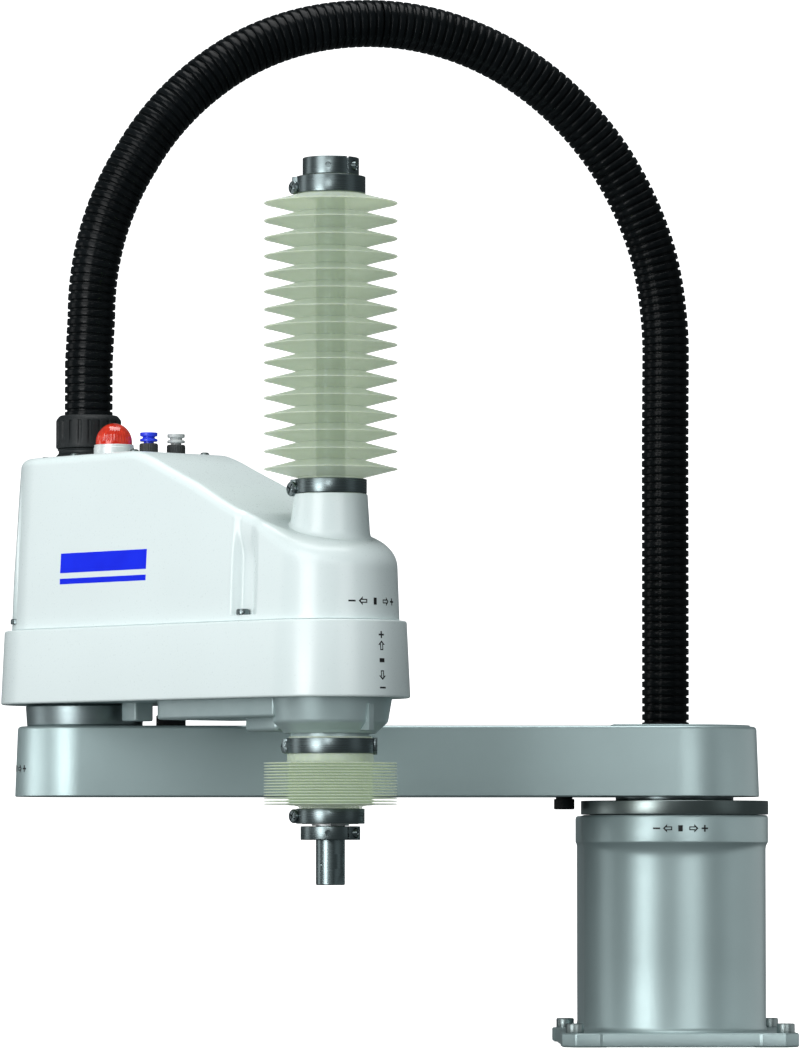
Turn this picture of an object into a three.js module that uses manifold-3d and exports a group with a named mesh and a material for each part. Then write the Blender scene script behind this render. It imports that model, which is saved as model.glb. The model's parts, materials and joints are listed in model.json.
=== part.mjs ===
// SCARA robot arm with cleanroom bellows, four axes, 700 mm reach.
// Units are millimetres, +Z is up. The origin is on the first joint's axis, on the base's mounting plane.
// The first link points along -X; the second link is turned J2_REST degrees about Z from +X.
import * as THREE from 'three';
import { mergeVertices } from 'three/addons/utils/BufferGeometryUtils.js';
import Module from 'manifold-3d';

const wasm = await Module();
wasm.setup();

// ---- driving dimensions -------------------------------------------------
const GAP = 0.3;                 // clearance between touching pieces
const ARM1 = 425;                // first joint to second joint
const ARM2 = 275;                // second joint to spindle
const J2_REST = -50.5;           // direction of the second link at rest, degrees
const SHAFT_R = 10;              // spindle shaft radius
const SHAFT_BORE_R = 7;          // hollow shaft radius
const SHAFT_LOW = 115.7, SHAFT_TOP = 616.6;
const BOLT_X = 75, BOLT_FRONT = -60, BOLT_BACK = 90;   // mounting bolt pattern, 150 x 150
const PLATE_T = 10, PLATE_HALF = 84.5, PLATE_FRONT = -72, PLATE_BACK = 100;
const BASE_R = 65.5, BASE_FLANGE_R = 67.3, BASE_TOP = 165, BASE_REAR = 145, BASE_BOX_HALF = 63.5;
const DISC_R = 67.5, DISC_TOP = 175.2;
const ARM1_LOW = 178, ARM1_TOP = 228.5, ARM1_R1 = 61, ARM1_R2 = 50;
const DRUM_R = 42.5, DRUM_TOP = 243.7;
const COVER_LOW = 244, COVER_SPLIT = 297, COVER_TOP = 421;
const NECK_R = 24.7, NECK_TOP = 384.5;
const HOSE_R = 17, HOSE_X2 = 0, HOSE_Y2 = 114;         // hose radius, its foot on the base
const HOSE_SPRING_L = 528, HOSE_SPRING_R = 506, HOSE_APEX = 744;
const CRESTS = 16, CREST_PITCH = 12.26, CREST_R = 46.25, VALLEY_R = 23, FOLD_LOW = 396, FOLD_TOP = 593;

// ---- helpers --------------------------------------------------------------
function solid(geo) {
  const g = geo.clone();
  for (const a of Object.keys(g.attributes)) if (a !== 'position') g.deleteAttribute(a);
  const m = mergeVertices(g, 1e-4);
  const idx = m.index.array, tri = [];
  for (let i = 0; i < idx.length; i += 3) {
    const [a, b, c] = [idx[i], idx[i + 1], idx[i + 2]];
    if (a !== b && b !== c && a !== c) tri.push(a, b, c);
  }
  return new wasm.Manifold(new wasm.Mesh({
    numProp: 3, vertProperties: new Float32Array(m.attributes.position.array), triVerts: new Uint32Array(tri),
  }));
}
function turned(profile, x = 0, y = 0, seg = 24) {       // revolved about a vertical axis, profile = [radius, height]
  const g = new THREE.LatheGeometry(profile.map(p => new THREE.Vector2(p[0], p[1])), seg);
  g.rotateX(Math.PI / 2); g.translate(x, y, 0);
  return solid(g);
}
const disc = (r, z0, z1, x = 0, y = 0, seg = 24) => turned([[0, z0], [r, z0], [r, z1], [0, z1]], x, y, seg);
const ring = (ri, ro, z0, z1, x = 0, y = 0, seg = 24) =>
  turned([[ri, z0], [ro, z0], [ro, z1], [ri, z1], [ri, z0]], x, y, seg);
function block(x0, x1, y0, y1, z0, z1) {
  const g = new THREE.BoxGeometry(x1 - x0, y1 - y0, z1 - z0);
  g.translate((x0 + x1) / 2, (y0 + y1) / 2, (z0 + z1) / 2);
  return solid(g);
}
function prism(points, z0, z1) {
  const g = new THREE.ExtrudeGeometry(new THREE.Shape(points.map(p => new THREE.Vector2(p[0], p[1]))),
    { depth: z1 - z0, bevelEnabled: false });
  g.translate(0, 0, z0);
  return solid(g);
}
function sideProfile(points, y0, y1) {                    // outline in x and z, extruded across y
  const g = new THREE.ExtrudeGeometry(new THREE.Shape(points.map(p => new THREE.Vector2(p[0], p[1]))),
    { depth: y1 - y0, bevelEnabled: false });
  g.rotateX(Math.PI / 2); g.translate(0, y1, 0);
  return solid(g);
}
function rod(r, from, to, seg = 12) {                     // round bar between two points
  const a = new THREE.Vector3(...from), b = new THREE.Vector3(...to), d = b.clone().sub(a);
  const g = new THREE.CylinderGeometry(r, r, d.length(), seg);
  g.applyQuaternion(new THREE.Quaternion().setFromUnitVectors(new THREE.Vector3(0, 1, 0), d.clone().normalize()));
  g.translate((a.x + b.x) / 2, (a.y + b.y) / 2, (a.z + b.z) / 2);
  return solid(g);
}
function hullRing(x0, r0, x1, r1, n = 14) {               // outline round two circles on the x axis
  const f = Math.acos((r0 - r1) / (x1 - x0)), pts = [];
  for (let i = 0; i <= n; i++) { const t = -f + 2 * f * i / n; pts.push([x1 + r1 * Math.cos(t), r1 * Math.sin(t)]); }
  for (let i = 0; i <= n; i++) { const t = f + 2 * (Math.PI - f) * i / n; pts.push([x0 + r0 * Math.cos(t), r0 * Math.sin(t)]); }
  return pts;
}
function loft(x0, x1, levels, n = 14) {                   // levels = [height, radius at x0, radius at x1]
  const rings = levels.map(([z, r0, r1]) => hullRing(x0, r0, x1, r1, n).map(p => [p[0], p[1], z]));
  const m = rings[0].length, pos = rings.flat(2), idx = [];
  for (let i = 0; i + 1 < rings.length; i++) for (let j = 0; j < m; j++) {
    const a = i * m + j, b = i * m + (j + 1) % m, c = b + m, d = a + m;
    idx.push(a, b, c, a, c, d);
  }
  const top = (rings.length - 1) * m;
  for (let j = 1; j + 1 < m; j++) idx.push(0, j + 1, j, top, top + j, top + j + 1);
  const g = new THREE.BufferGeometry();
  g.setAttribute('position', new THREE.Float32BufferAttribute(pos, 3));
  g.setIndex(idx);
  return solid(g);
}
const all = (list) => list.reduce((a, b) => a.add(b));
const model = new THREE.Group();
const link2 = new THREE.Group();                          // second link's own frame: x along the link
link2.position.set(-ARM1, 0, 0);
link2.rotation.z = J2_REST * Math.PI / 180;
model.add(link2);
const finish = {
  silver: [0xb4c4c5, 0.42, 0.35], white: [0xe9eeee, 0.32, 0.0], steel: [0x8f9698, 0.3, 1.0], darksteel: [0x565d60, 0.28, 1.0],
  black: [0x17181a, 0.45, 0.0], bellows: [0xc9cdb6, 0.5, 0.0], red: [0xe2432a, 0.25, 0.0], blue: [0x2a3fd6, 0.35, 0.0],
  grey: [0xc8cdd0, 0.4, 0.0], motor: [0x202226, 0.5, 0.2], belt: [0x111111, 0.8, 0.0], alu: [0xb8bcc0, 0.4, 0.9],
};
function node(name, m, look, parent = model) {
  const out = m.getMesh(), g = new THREE.BufferGeometry();
  const v = out.vertProperties, k = out.numProp, p = new Float32Array(v.length / k * 3);
  for (let i = 0; i < v.length / k; i++) for (let c = 0; c < 3; c++) p[i * 3 + c] = v[i * k + c];
  g.setAttribute('position', new THREE.BufferAttribute(p, 3));
  g.setIndex(Array.from(out.triVerts));
  g.computeVertexNormals();
  const [color, roughness, metalness] = finish[look];
  const mesh = new THREE.Mesh(g, new THREE.MeshStandardMaterial({ color, roughness, metalness }));
  mesh.name = name;
  parent.add(mesh);
}

// ---- base -------------------------------------------------------------------
const C = 9;                                              // corner chamfer of the mounting plate
let base = prism([[-PLATE_HALF + C, PLATE_FRONT], [PLATE_HALF - C, PLATE_FRONT], [PLATE_HALF, PLATE_FRONT + C],
  [PLATE_HALF, PLATE_BACK - C], [PLATE_HALF - C, PLATE_BACK], [-PLATE_HALF + C, PLATE_BACK],
  [-PLATE_HALF, PLATE_BACK - C], [-PLATE_HALF, PLATE_FRONT + C]], 0, PLATE_T);
base = base.add(turned([[0, 0.5], [BASE_R, 0.5], [BASE_R, 140], [BASE_FLANGE_R, 145], [BASE_FLANGE_R, BASE_TOP], [0, BASE_TOP]], 0, 0, 40));
base = base.add(block(-BASE_BOX_HALF, BASE_BOX_HALF, 0, BASE_REAR, 0, BASE_TOP));
base = base.subtract(disc(59, 12, 157, 0, 0, 24)).subtract(block(-57.5, 57.5, 0, 138, 12, 157));
base = base.subtract(disc(46.5, 150, 170, 0, 0, 28)).subtract(block(-50, 50, 130, 150, 22, 150));
for (const [x, y] of [[-BOLT_X, BOLT_FRONT], [BOLT_X, BOLT_FRONT], [-BOLT_X, BOLT_BACK], [BOLT_X, BOLT_BACK]])
  base = base.subtract(disc(4.5, -5, 15, x, y, 12));
node('base_casting', base, 'silver');
let n = 1;
for (const [x, y] of [[-BOLT_X, BOLT_FRONT], [BOLT_X, BOLT_FRONT], [-BOLT_X, BOLT_BACK], [BOLT_X, BOLT_BACK]]) {
  const b = turned([[0, 0.8], [3.9, 0.8], [3.9, PLATE_T + GAP], [6.5, PLATE_T + GAP], [6.5, 18.3], [0, 18.3]], x, y, 14);
  const hex = []; for (let i = 0; i < 6; i++) hex.push([x + 3.6 * Math.cos(i * Math.PI / 3), y + 3.6 * Math.sin(i * Math.PI / 3)]);
  node('mount_bolt_' + n++, b.subtract(prism(hex, 13.5, 20)), 'steel');
}
node('j1_bearing_disc', ring(40.6, DISC_R, BASE_TOP + GAP, DISC_TOP, 0, 0, 40), 'steel');
node('j1_reducer', disc(45.6, 140, BASE_TOP, 0, 0, 28), 'alu');
node('j1_motor', block(-32, 32, -32, 32, 30, 139.6).add(disc(26, 22, 31, 0, 0, 20)), 'motor');
node('rear_connector_panel', block(-49.6, 49.6, BASE_REAR - 3, BASE_REAR, 22.4, 149.6), 'alu');
node('power_connector', block(-42, -4, BASE_REAR + GAP, BASE_REAR + 9, 34, 62), 'black');
node('signal_connector', block(6, 42, BASE_REAR + GAP, BASE_REAR + 9, 36, 60), 'black');
node('base_hose_gland', ring(17.5, 23.5, BASE_TOP + GAP, 197, HOSE_X2, HOSE_Y2, 24), 'black');

// ---- first link -------------------------------------------------------------
let arm1 = loft(-ARM1, 0, [[ARM1_LOW, ARM1_R2 - 1.1, ARM1_R1 - 1.1], [ARM1_LOW + 1.2, ARM1_R2, ARM1_R1],
  [ARM1_TOP - 2.4, ARM1_R2 - 1.8, ARM1_R1 - 1.8], [ARM1_TOP, ARM1_R2 - 4, ARM1_R1 - 4]], 15);
arm1 = arm1.subtract(loft(-ARM1, 0, [[186, 41, 52], [221, 40, 51]], 8));
arm1 = arm1.subtract(disc(36, 170, 190, 0, 0, 28)).subtract(disc(36, 218, 235, -ARM1, 0, 28));
node('arm_1_casting', arm1, 'silver');
node('j1_output_flange', turned([[0, 165.6], [39.9, 165.6], [39.9, 175.5], [42.5, 175.5], [42.5, ARM1_LOW - GAP], [0, ARM1_LOW - GAP]], 0, 0, 32), 'darksteel');
node('j1_stopper_bolt', disc(7.4, 169, ARM1_LOW - GAP, -79.6, 0, 20), 'darksteel');
node('j2_drum', disc(DRUM_R, ARM1_TOP + GAP, DRUM_TOP, -ARM1, 0, 36), 'darksteel');
node('j2_stopper_block', block(-373.5, -352.5, -13, 13, ARM1_TOP + GAP, 236.5), 'black');

// ---- second link: structure ---------------------------------------------------
let cast = loft(0, ARM2, [[COVER_LOW + GAP, 55, 50], [254, 54.7, 49.7]], 10);
cast = cast.add(block(125, ARM2, -40, 40, 231, 246));
cast = cast.add(turned([[0, 201], [27.5, 201], [27.5, 220], [31.8, 220], [39.6, 226], [42.4, 243], [42.4, 246], [0, 246]], ARM2, 0, 32));
cast = cast.add(block(52.5, 69.5, -8.5, 8.5, 231, 246));
cast = cast.subtract(disc(16.4, 190, 260, ARM2, 0, 28)).subtract(disc(34.6, 240, 260, 0, 0, 32));
node('arm_2_casting', cast, 'silver', link2);
node('j2_reducer', disc(34, COVER_LOW + GAP, 261.7, 0, 0, 28), 'alu', link2);
node('j2_motor', block(-30, 30, -30, 30, 262, 350), 'motor', link2);
let shell = loft(0, ARM2, [[COVER_LOW, 58.9, 53.5], [COVER_LOW + 1.5, 60.4, 55], [COVER_SPLIT - 1.5, 57.9, 53], [COVER_SPLIT, 56.8, 51.9]], 14);
shell = shell.subtract(loft(0, ARM2, [[240, 56.6, 51.3], [293.5, 54.3, 49.4]], 10));
shell = shell.subtract(loft(0, ARM2, [[290, 49.5, 44.5], [300, 49.5, 44.5]], 10));
node('arm_2_lower_cover', shell, 'white', link2);

// upper cover: drafted shell under a sloping top, with a neck round the spindle and four screw channels
const wall = [[297.3, 52.7, 47.5], [335, 51.3, 46.6], [365, 49.4, 45.2], [395, 47.7, 43.5], [413, 45.8, 42], [COVER_TOP, 42.6, 39]];
const slope = [[116, 421], [130, 416], [150, 407], [170, 399], [180, 395], [204, 383], [228, 374], [250, 367], [275, 357], [296, 351], [309, 347], [317, 340], [322, 330]];
const outer = loft(0, ARM2, wall, 12).intersect(sideProfile([[-70, 290], [330, 290], [330, 330], ...slope.slice().reverse(), [-70, 421]], -70, 70));
const inner = loft(0, ARM2, [[290, 49.3, 44.1], [365, 46, 41.8], [418, 40.6, 37]], 8)
  .intersect(sideProfile([[-70, 280], [330, 280], ...[[112, 417.6], [148, 403.5], [204, 379], [275, 353.5], [305, 345], [318, 328]].reverse(), [-70, 417.6]], -70, 70));
let cover = outer.subtract(inner);
cover = cover.add(turned([[0, 340], [27, 340], [26.2, 366], [NECK_R, NECK_TOP], [0, NECK_TOP]], ARM2, 0, 28));
const screwAt = [[235, -45.2], [235, 45.2], [-20, -46.5], [-20, 46.5]];
for (const [x, y] of screwAt) cover = cover.add(disc(8.2, 297.3, 396, x, y, 10).intersect(outer));
cover = cover.subtract(disc(21.2, 335, 390, ARM2, 0, 20));
for (const [x, y] of screwAt) cover = cover.subtract(disc(4.8, 301.5, 430, x, y, 12)).subtract(disc(2.4, 290, 302, x, y, 8));
const plateOutline = (g) => { const p = []; for (let i = 0; i <= 12; i++) { const t = Math.PI / 2 + Math.PI * i / 12; p.push([(39.2 + g) * Math.cos(t), (39.2 + g) * Math.sin(t) * 0.975]); }
  p.push([97, -37 - g], [105 + g, -29], [105 + g, 29], [97, 37 + g]); return p; };
cover = cover.subtract(prism(plateOutline(0.4), 415, 425));
node('arm_2_upper_cover', cover, 'white', link2);
n = 1;
for (const [x, y] of screwAt)
  node('cover_screw_' + n++, turned([[0, 298], [2, 298], [2, 301.8], [4.4, 301.8], [4.4, 305.4], [0, 305.4]], x, y, 10), 'steel', link2);
let plate = prism(plateOutline(0), 418.7, COVER_TOP);
plate = plate.subtract(disc(5.2, 410, 430, -29.5, 9, 16)).subtract(disc(13, 410, 430, 0, 0, 24));
node('top_plate', plate, 'white', link2);
node('brake_release_button', turned([[0, 413.5], [6.2, 413.5], [6.2, 418.1], [4.6, 418.1], [4.6, 424.6], [0, 424.6]], -29.5, 9, 20), 'black', link2);
node('d_sub_connector', block(-24.5, 14.5, 25.0, 37.0, COVER_TOP + GAP, 427.3), 'steel', link2);
node('hose_gland_base', ring(12.5, 22.8, COVER_TOP + GAP, 428.3, 0, 0, 20), 'black', link2);
node('hose_gland_nut', turned([[17.5, 428.6], [23.5, 428.6], [23.5, 450], [21.6, 452.7], [17.5, 452.7], [17.5, 428.6]], 0, 0, 24), 'black', link2);
node('lamp_base', disc(14.4, COVER_TOP + GAP, 428.7, 50, -12, 24), 'steel', link2);
node('lamp_lens', turned([[0, 429], [13, 429], [12.7, 434.4], [9.8, 441], [4.2, 444], [0, 444.4]], 50, -12, 18), 'red', link2);
for (const [name, look, x, y, top] of [['blue', 'blue', 62, 9, 438], ['white', 'grey', 62, 34, 438]]) {
  node('air_fitting_' + name + '_body', ring(4, 6.6, COVER_TOP + GAP, 430.2, x, y, 14), 'black', link2);
  node('air_fitting_' + name + '_ring', turned([[2.6, 424], [3.6, 424], [3.6, 431.6], [6.2, 431.6], [6.2, 433.4], [4.4, 434.4], [4.4, top - 2.4], [6.3, top - 2.2], [6.3, top], [2.6, top], [2.6, 424]], x, y, 12), look, link2);
}

// ---- second link: drives ----------------------------------------------------------
const U_X = 95, Z_X = 165;                                // motor positions along the link
let bracket = all([block(66, 193, 30.5, 33.5, 254.3, 295.7), block(66, 193, -33.5, -30.5, 254.3, 295.7),
  block(66, 124, -33.5, 33.5, 272.7, 274.7), block(137, 300, -33.5, 33.5, 293.7, 295.7)]);
bracket = bracket.subtract(disc(13, 260, 280, U_X, 0, 20)).subtract(disc(13, 280, 300, Z_X, 0, 20)).subtract(disc(16.6, 280, 300, ARM2, 0, 24));
node('motor_bracket', bracket, 'alu', link2);
node('u_motor', block(U_X - 28, U_X + 28, -28, 28, 275, 355), 'motor', link2);
node('u_motor_pulley', turned([[0, 262.2], [12, 262.2], [12, 272.2], [5, 272.2], [5, 274.6], [0, 274.6]], U_X, 0, 24), 'alu', link2);
node('spline_nut', turned([[10.6, 224], [15.8, 224], [15.8, 262.2], [24, 262.2], [24, 272.2], [15.8, 272.2], [15.8, 278], [10.6, 278], [10.6, 224]], ARM2, 0, 20), 'steel', link2);
node('u_belt', prism(hullRing(U_X, 13.8, ARM2, 25.8, 10), 262.6, 271.8).subtract(prism(hullRing(U_X, 12.4, ARM2, 24.4, 10), 260, 275)), 'belt', link2);
node('z_motor', block(Z_X - 27.5, Z_X + 27.5, -27.5, 27.5, 296, 358), 'motor', link2);
node('z_brake', disc(24, 358.3, 373, Z_X, 0, 24), 'alu', link2);
node('z_motor_pulley', turned([[0, 283.2], [12, 283.2], [12, 293.2], [5, 293.2], [5, 295.6], [0, 295.6]], Z_X, 0, 24), 'alu', link2);
node('ball_screw_nut', turned([[10.6, 281], [16, 281], [16, 283.2], [24, 283.2], [24, 293.2], [16, 293.2], [16, 325], [10.6, 325], [10.6, 281]], ARM2, 0, 20), 'steel', link2);
node('z_belt', prism(hullRing(Z_X, 13.8, ARM2, 25.8, 10), 283.6, 292.8).subtract(prism(hullRing(Z_X, 12.4, ARM2, 24.4, 10), 280, 296)), 'belt', link2);

// ---- spindle --------------------------------------------------------------------------
const SX = -ARM1 + ARM2 * Math.cos(J2_REST * Math.PI / 180), SY = ARM2 * Math.sin(J2_REST * Math.PI / 180);
node('spindle_shaft', ring(SHAFT_BORE_R, SHAFT_R, SHAFT_LOW, SHAFT_TOP, SX, SY, 24), 'steel');
const clamp = (ri, ro, z0, z1, screw) => ring(ri, ro, z0, z1, SX, SY, 20)
  .add(rod(screw, [SX - ro - 1.6, SY - 5, (z0 + z1) / 2], [SX - ro - 1.6, SY + 5, (z0 + z1) / 2]).subtract(disc(ri + 0.6, z0 - 5, z1 + 5, SX, SY, 20)));
const collar = (r, z0, z1) => {
  let c = ring(SHAFT_R + 0.5, r, z0, z1, SX, SY, 20);
  c = c.subtract(block(SX + 9, SX + 26, SY - 0.9, SY + 0.9, z0 - 1, z1 + 1));
  c = c.subtract(rod(1.85, [SX, SY - 25, (z0 + z1) / 2], [SX, SY - 9, (z0 + z1) / 2], 10));
  return c;
};
node('upper_shaft_collar', collar(19.5, 604.6, 616.9), 'darksteel');
node('lower_shaft_collar', collar(20.5, 146.7, 156.1), 'darksteel');
node('upper_bellows_top_clamp', clamp(21.95, 24, 594.3, 604.3, 4.4), 'darksteel');
node('upper_bellows_bottom_clamp', clamp(21.95, 24.25, 384.9, 394.8, 4.6), 'darksteel');
node('lower_bellows_top_clamp', clamp(29.2, 30.6, 205.9, 216.4, 4.4), 'darksteel');
node('lower_bellows_bottom_clamp', clamp(22.15, 23.5, 157.8, 168.2, 4.4), 'darksteel');
node('upper_bellows_holder', ring(10.6, 19, 593.5, 604.3, SX, SY, 20), 'alu');
node('lower_bellows_holder', turned([[10.6, 156.4], [12.75, 156.4], [12.75, 157.5], [19.3, 157.5], [19.3, 168], [10.6, 168], [10.6, 156.4]], SX, SY, 20), 'alu');
const fold = [[19.5, 384.9], [21.65, 384.9], [21.65, FOLD_LOW]];
const first = 401.8;
for (let i = 0; i < CRESTS; i++) {
  fold.push([VALLEY_R, first + (i - 0.5) * CREST_PITCH]);
  fold.push([CREST_R, first + i * CREST_PITCH]);
}
fold.push([VALLEY_R, first + (CRESTS - 0.5) * CREST_PITCH], [21.65, FOLD_TOP], [21.65, 604.3], [19.5, 604.3], [19.5, 384.9]);
node('upper_bellows', turned(fold, SX, SY, 18), 'bellows');
node('lower_bellows', turned([[19.9, 157.8], [21.85, 157.8], [21.85, 170.2], [46, 170.2], [46, 200.6], [29.8, 200.6], [29.8, 205.6], [28.6, 205.6], [28.6, 216.4], [27.9, 216.4], [27.9, 199.6], [19.9, 199.6], [19.9, 157.8]], SX, SY, 24), 'bellows');

// ---- corrugated hose from the base over to the second joint -----------------------------
const HALF = Math.hypot(ARM1 + HOSE_X2, HOSE_Y2) / 2;
const along = (u, z) => new THREE.Vector3(-ARM1 + (ARM1 + HOSE_X2) * u / (2 * HALF), HOSE_Y2 * u / (2 * HALF), z);
const hoseSection = new THREE.Shape(Array.from({ length: 10 }, (_, i) => new THREE.Vector2(HOSE_R * Math.cos(i * Math.PI / 5), HOSE_R * Math.sin(i * Math.PI / 5))));
function hose(points, steps) {
  const path = new THREE.CatmullRomCurve3(points, false, 'centripetal');
  return solid(new THREE.ExtrudeGeometry(hoseSection, { steps, extrudePath: path, bevelEnabled: false }));
}
const left = [along(0, 429), along(0, 462), along(0, 495)], right = [];
for (let i = 0; i < 10; i++) { const t = i * Math.PI / 20; left.push(along(HALF - HALF * Math.cos(t), HOSE_SPRING_L + (HOSE_APEX - HOSE_SPRING_L) * Math.sin(t))); }
left.push(along(HALF - 6, HOSE_APEX), along(HALF - 0.4, HOSE_APEX));
right.push(along(HALF + 0.4, HOSE_APEX), along(HALF + 6, HOSE_APEX));
for (let i = 1; i <= 10; i++) { const t = i * Math.PI / 20; right.push(along(HALF + HALF * Math.sin(t), HOSE_SPRING_R + (HOSE_APEX - HOSE_SPRING_R) * Math.cos(t))); }
for (const z of [450, 380, 310, 240, 168]) right.push(along(2 * HALF, z));
node('hose_arm_half', hose(left, 10), 'black');
node('hose_base_half', hose(right, 13), 'black');

export default model;
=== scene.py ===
import bpy, bmesh, json, math, random
import numpy as np
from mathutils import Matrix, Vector

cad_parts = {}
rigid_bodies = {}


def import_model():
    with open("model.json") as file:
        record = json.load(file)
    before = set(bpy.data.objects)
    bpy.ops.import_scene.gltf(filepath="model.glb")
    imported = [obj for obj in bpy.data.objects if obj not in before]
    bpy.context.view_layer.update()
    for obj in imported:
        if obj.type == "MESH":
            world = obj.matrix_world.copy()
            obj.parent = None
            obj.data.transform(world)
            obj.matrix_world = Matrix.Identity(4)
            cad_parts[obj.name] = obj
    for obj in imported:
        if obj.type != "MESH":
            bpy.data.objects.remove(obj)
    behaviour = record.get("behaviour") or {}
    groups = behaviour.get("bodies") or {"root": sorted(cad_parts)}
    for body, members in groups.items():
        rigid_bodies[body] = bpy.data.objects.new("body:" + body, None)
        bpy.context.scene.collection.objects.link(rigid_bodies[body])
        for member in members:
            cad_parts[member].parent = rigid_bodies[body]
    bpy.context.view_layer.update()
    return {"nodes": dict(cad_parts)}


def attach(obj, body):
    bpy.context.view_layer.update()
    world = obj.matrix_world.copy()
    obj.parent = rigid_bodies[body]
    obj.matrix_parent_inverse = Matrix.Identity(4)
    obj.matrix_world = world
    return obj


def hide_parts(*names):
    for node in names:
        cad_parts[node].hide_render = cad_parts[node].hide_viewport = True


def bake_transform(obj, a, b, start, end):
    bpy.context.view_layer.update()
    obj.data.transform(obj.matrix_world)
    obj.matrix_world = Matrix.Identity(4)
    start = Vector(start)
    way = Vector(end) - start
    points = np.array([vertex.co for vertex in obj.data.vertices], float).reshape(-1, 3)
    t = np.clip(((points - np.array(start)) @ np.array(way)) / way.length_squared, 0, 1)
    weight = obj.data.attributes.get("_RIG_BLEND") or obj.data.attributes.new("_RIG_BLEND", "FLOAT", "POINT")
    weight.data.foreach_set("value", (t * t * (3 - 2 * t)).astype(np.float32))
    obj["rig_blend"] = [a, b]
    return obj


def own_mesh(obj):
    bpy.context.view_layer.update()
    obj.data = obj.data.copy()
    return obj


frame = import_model()
CAD = frame["nodes"]
MM = 0.001
A1, A2, REST = 425.0, 275.0, math.radians(-50.5)
CA, SA = math.cos(REST), math.sin(REST)
SX, SY = -A1 + A2 * CA, A2 * SA
scene = bpy.context.scene

# ------------------------------------------------------------------ camera
cam_data = bpy.data.cameras.new("camera")
cam_data.sensor_width = 36.0
cam_data.lens = 36.0 * 6380.0 / 1049.0
cam_data.clip_start, cam_data.clip_end = 0.1, 60.0
cam = bpy.data.objects.new("camera", cam_data)
scene.collection.objects.link(cam)
cam.location = (-0.291, -4.6, 0.1398)
pan = math.atan((400 - 271) / 6380.0)
tilt = math.atan((850 - 524.5) / 6380.0)
cam.rotation_euler = (math.pi / 2 + tilt, 0, -pan)
scene.camera = cam


# ------------------------------------------------------------------ mesh helpers
def arm2(v):
    """Second link's frame (x along the link, millimetres) to the row frame, millimetres."""
    v = np.asarray(v, float)
    return np.stack([-A1 + v[..., 0] * CA - v[..., 1] * SA, v[..., 0] * SA + v[..., 1] * CA, v[..., 2]], -1)


def make(name, verts, faces, mat, body, slot=None, replaces=(), sharp=32, smooth=True):
    me = bpy.data.meshes.new(name)
    me.from_pydata([tuple(p) for p in np.asarray(verts, float) * MM], [], [list(map(int, f)) for f in faces])
    bm = bmesh.new()
    bm.from_mesh(me)
    bmesh.ops.remove_doubles(bm, verts=bm.verts, dist=1e-6)
    bmesh.ops.dissolve_degenerate(bm, edges=bm.edges, dist=1e-7)
    bmesh.ops.recalc_face_normals(bm, faces=bm.faces)
    bm.to_mesh(me)
    bm.free()
    return dress(name, me, mat, body, replaces, sharp, smooth)


def dress(name, me, mat, body, replaces=(), sharp=32, smooth=True):
    if smooth:
        me.polygons.foreach_set("use_smooth", [True] * len(me.polygons))
        me.set_sharp_from_angle(angle=math.radians(sharp))
    me.materials.clear()
    me.materials.append(mat)
    ob = bpy.data.objects.new(name, me)
    scene.collection.objects.link(ob)
    if body:
        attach(ob, body)
        if replaces:
            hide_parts(*replaces)
    return ob


def cut(ob, cutters, mode="DIFFERENCE", sharp=32):
    """Boolean with other objects, applied, and the cutters removed."""
    for c in cutters:
        m = ob.modifiers.new("b", "BOOLEAN")
        m.operation, m.solver, m.object = mode, "EXACT", c
    bpy.context.view_layer.update()
    dg = bpy.context.evaluated_depsgraph_get()
    me = bpy.data.meshes.new_from_object(ob.evaluated_get(dg))
    old = ob.data
    mats = list(old.materials)
    ob.modifiers.clear()
    ob.data = me
    me.materials.clear()
    for m in mats[:1]:
        me.materials.append(m)
    me.polygons.foreach_set("material_index", [0] * len(me.polygons))
    me.polygons.foreach_set("use_smooth", [True] * len(me.polygons))
    me.set_sharp_from_angle(angle=math.radians(sharp))
    for c in cutters:
        d = c.data
        bpy.data.objects.remove(c)
        bpy.data.meshes.remove(d)
    return ob


def fillet(points, n=6):
    """Polyline of (x, z, radius): corners with a radius become arcs. Returns (x, z) list."""
    out = []
    for i, p in enumerate(points):
        r = p[2] if len(p) > 2 else 0
        if r <= 0 or i in (0, len(points) - 1):
            out.append((p[0], p[1]))
            continue
        a, b, c = (np.array(q[:2], float) for q in (points[i - 1], p, points[i + 1]))
        u, v = a - b, c - b
        lu, lv = np.linalg.norm(u), np.linalg.norm(v)
        u, v = u / lu, v / lv
        half = math.acos(max(-1, min(1, float(u @ v)))) / 2
        if half > math.pi / 2 - 0.02:
            out.append((p[0], p[1]))
            continue
        t = min(r / math.tan(half), lu * 0.499, lv * 0.499)
        rr = t * math.tan(half)
        w = (u + v) / np.linalg.norm(u + v)
        centre = b + w * rr / math.sin(half)
        s, e = b + u * t - centre, b + v * t - centre
        a0, a1 = math.atan2(s[1], s[0]), math.atan2(e[1], e[0])
        d = (a1 - a0 + math.pi) % (2 * math.pi) - math.pi
        for k in range(n + 1):
            an = a0 + d * k / n
            out.append((centre[0] + rr * math.cos(an), centre[1] + rr * math.sin(an)))
    return out


def lathe_data(profile, centre=(0, 0), seg=96, closed=False, wave=None):
    pr = np.array(profile, float)
    th = np.linspace(0, 2 * math.pi, seg, endpoint=False)
    R = np.repeat(pr[:, 0][:, None], seg, 1)
    Z = np.repeat(pr[:, 1][:, None], seg, 1)
    if wave is not None:
        R = wave(R, Z, th[None, :])
    V = np.stack([centre[0] + R * np.cos(th), centre[1] + R * np.sin(th), Z], -1).reshape(-1, 3)
    n, F = len(pr), []
    for i in range(n if closed else n - 1):
        a, b = i * seg, ((i + 1) % n) * seg
        for j in range(seg):
            k = (j + 1) % seg
            F.append((a + j, a + k, b + k, b + j))
    return V, F


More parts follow.
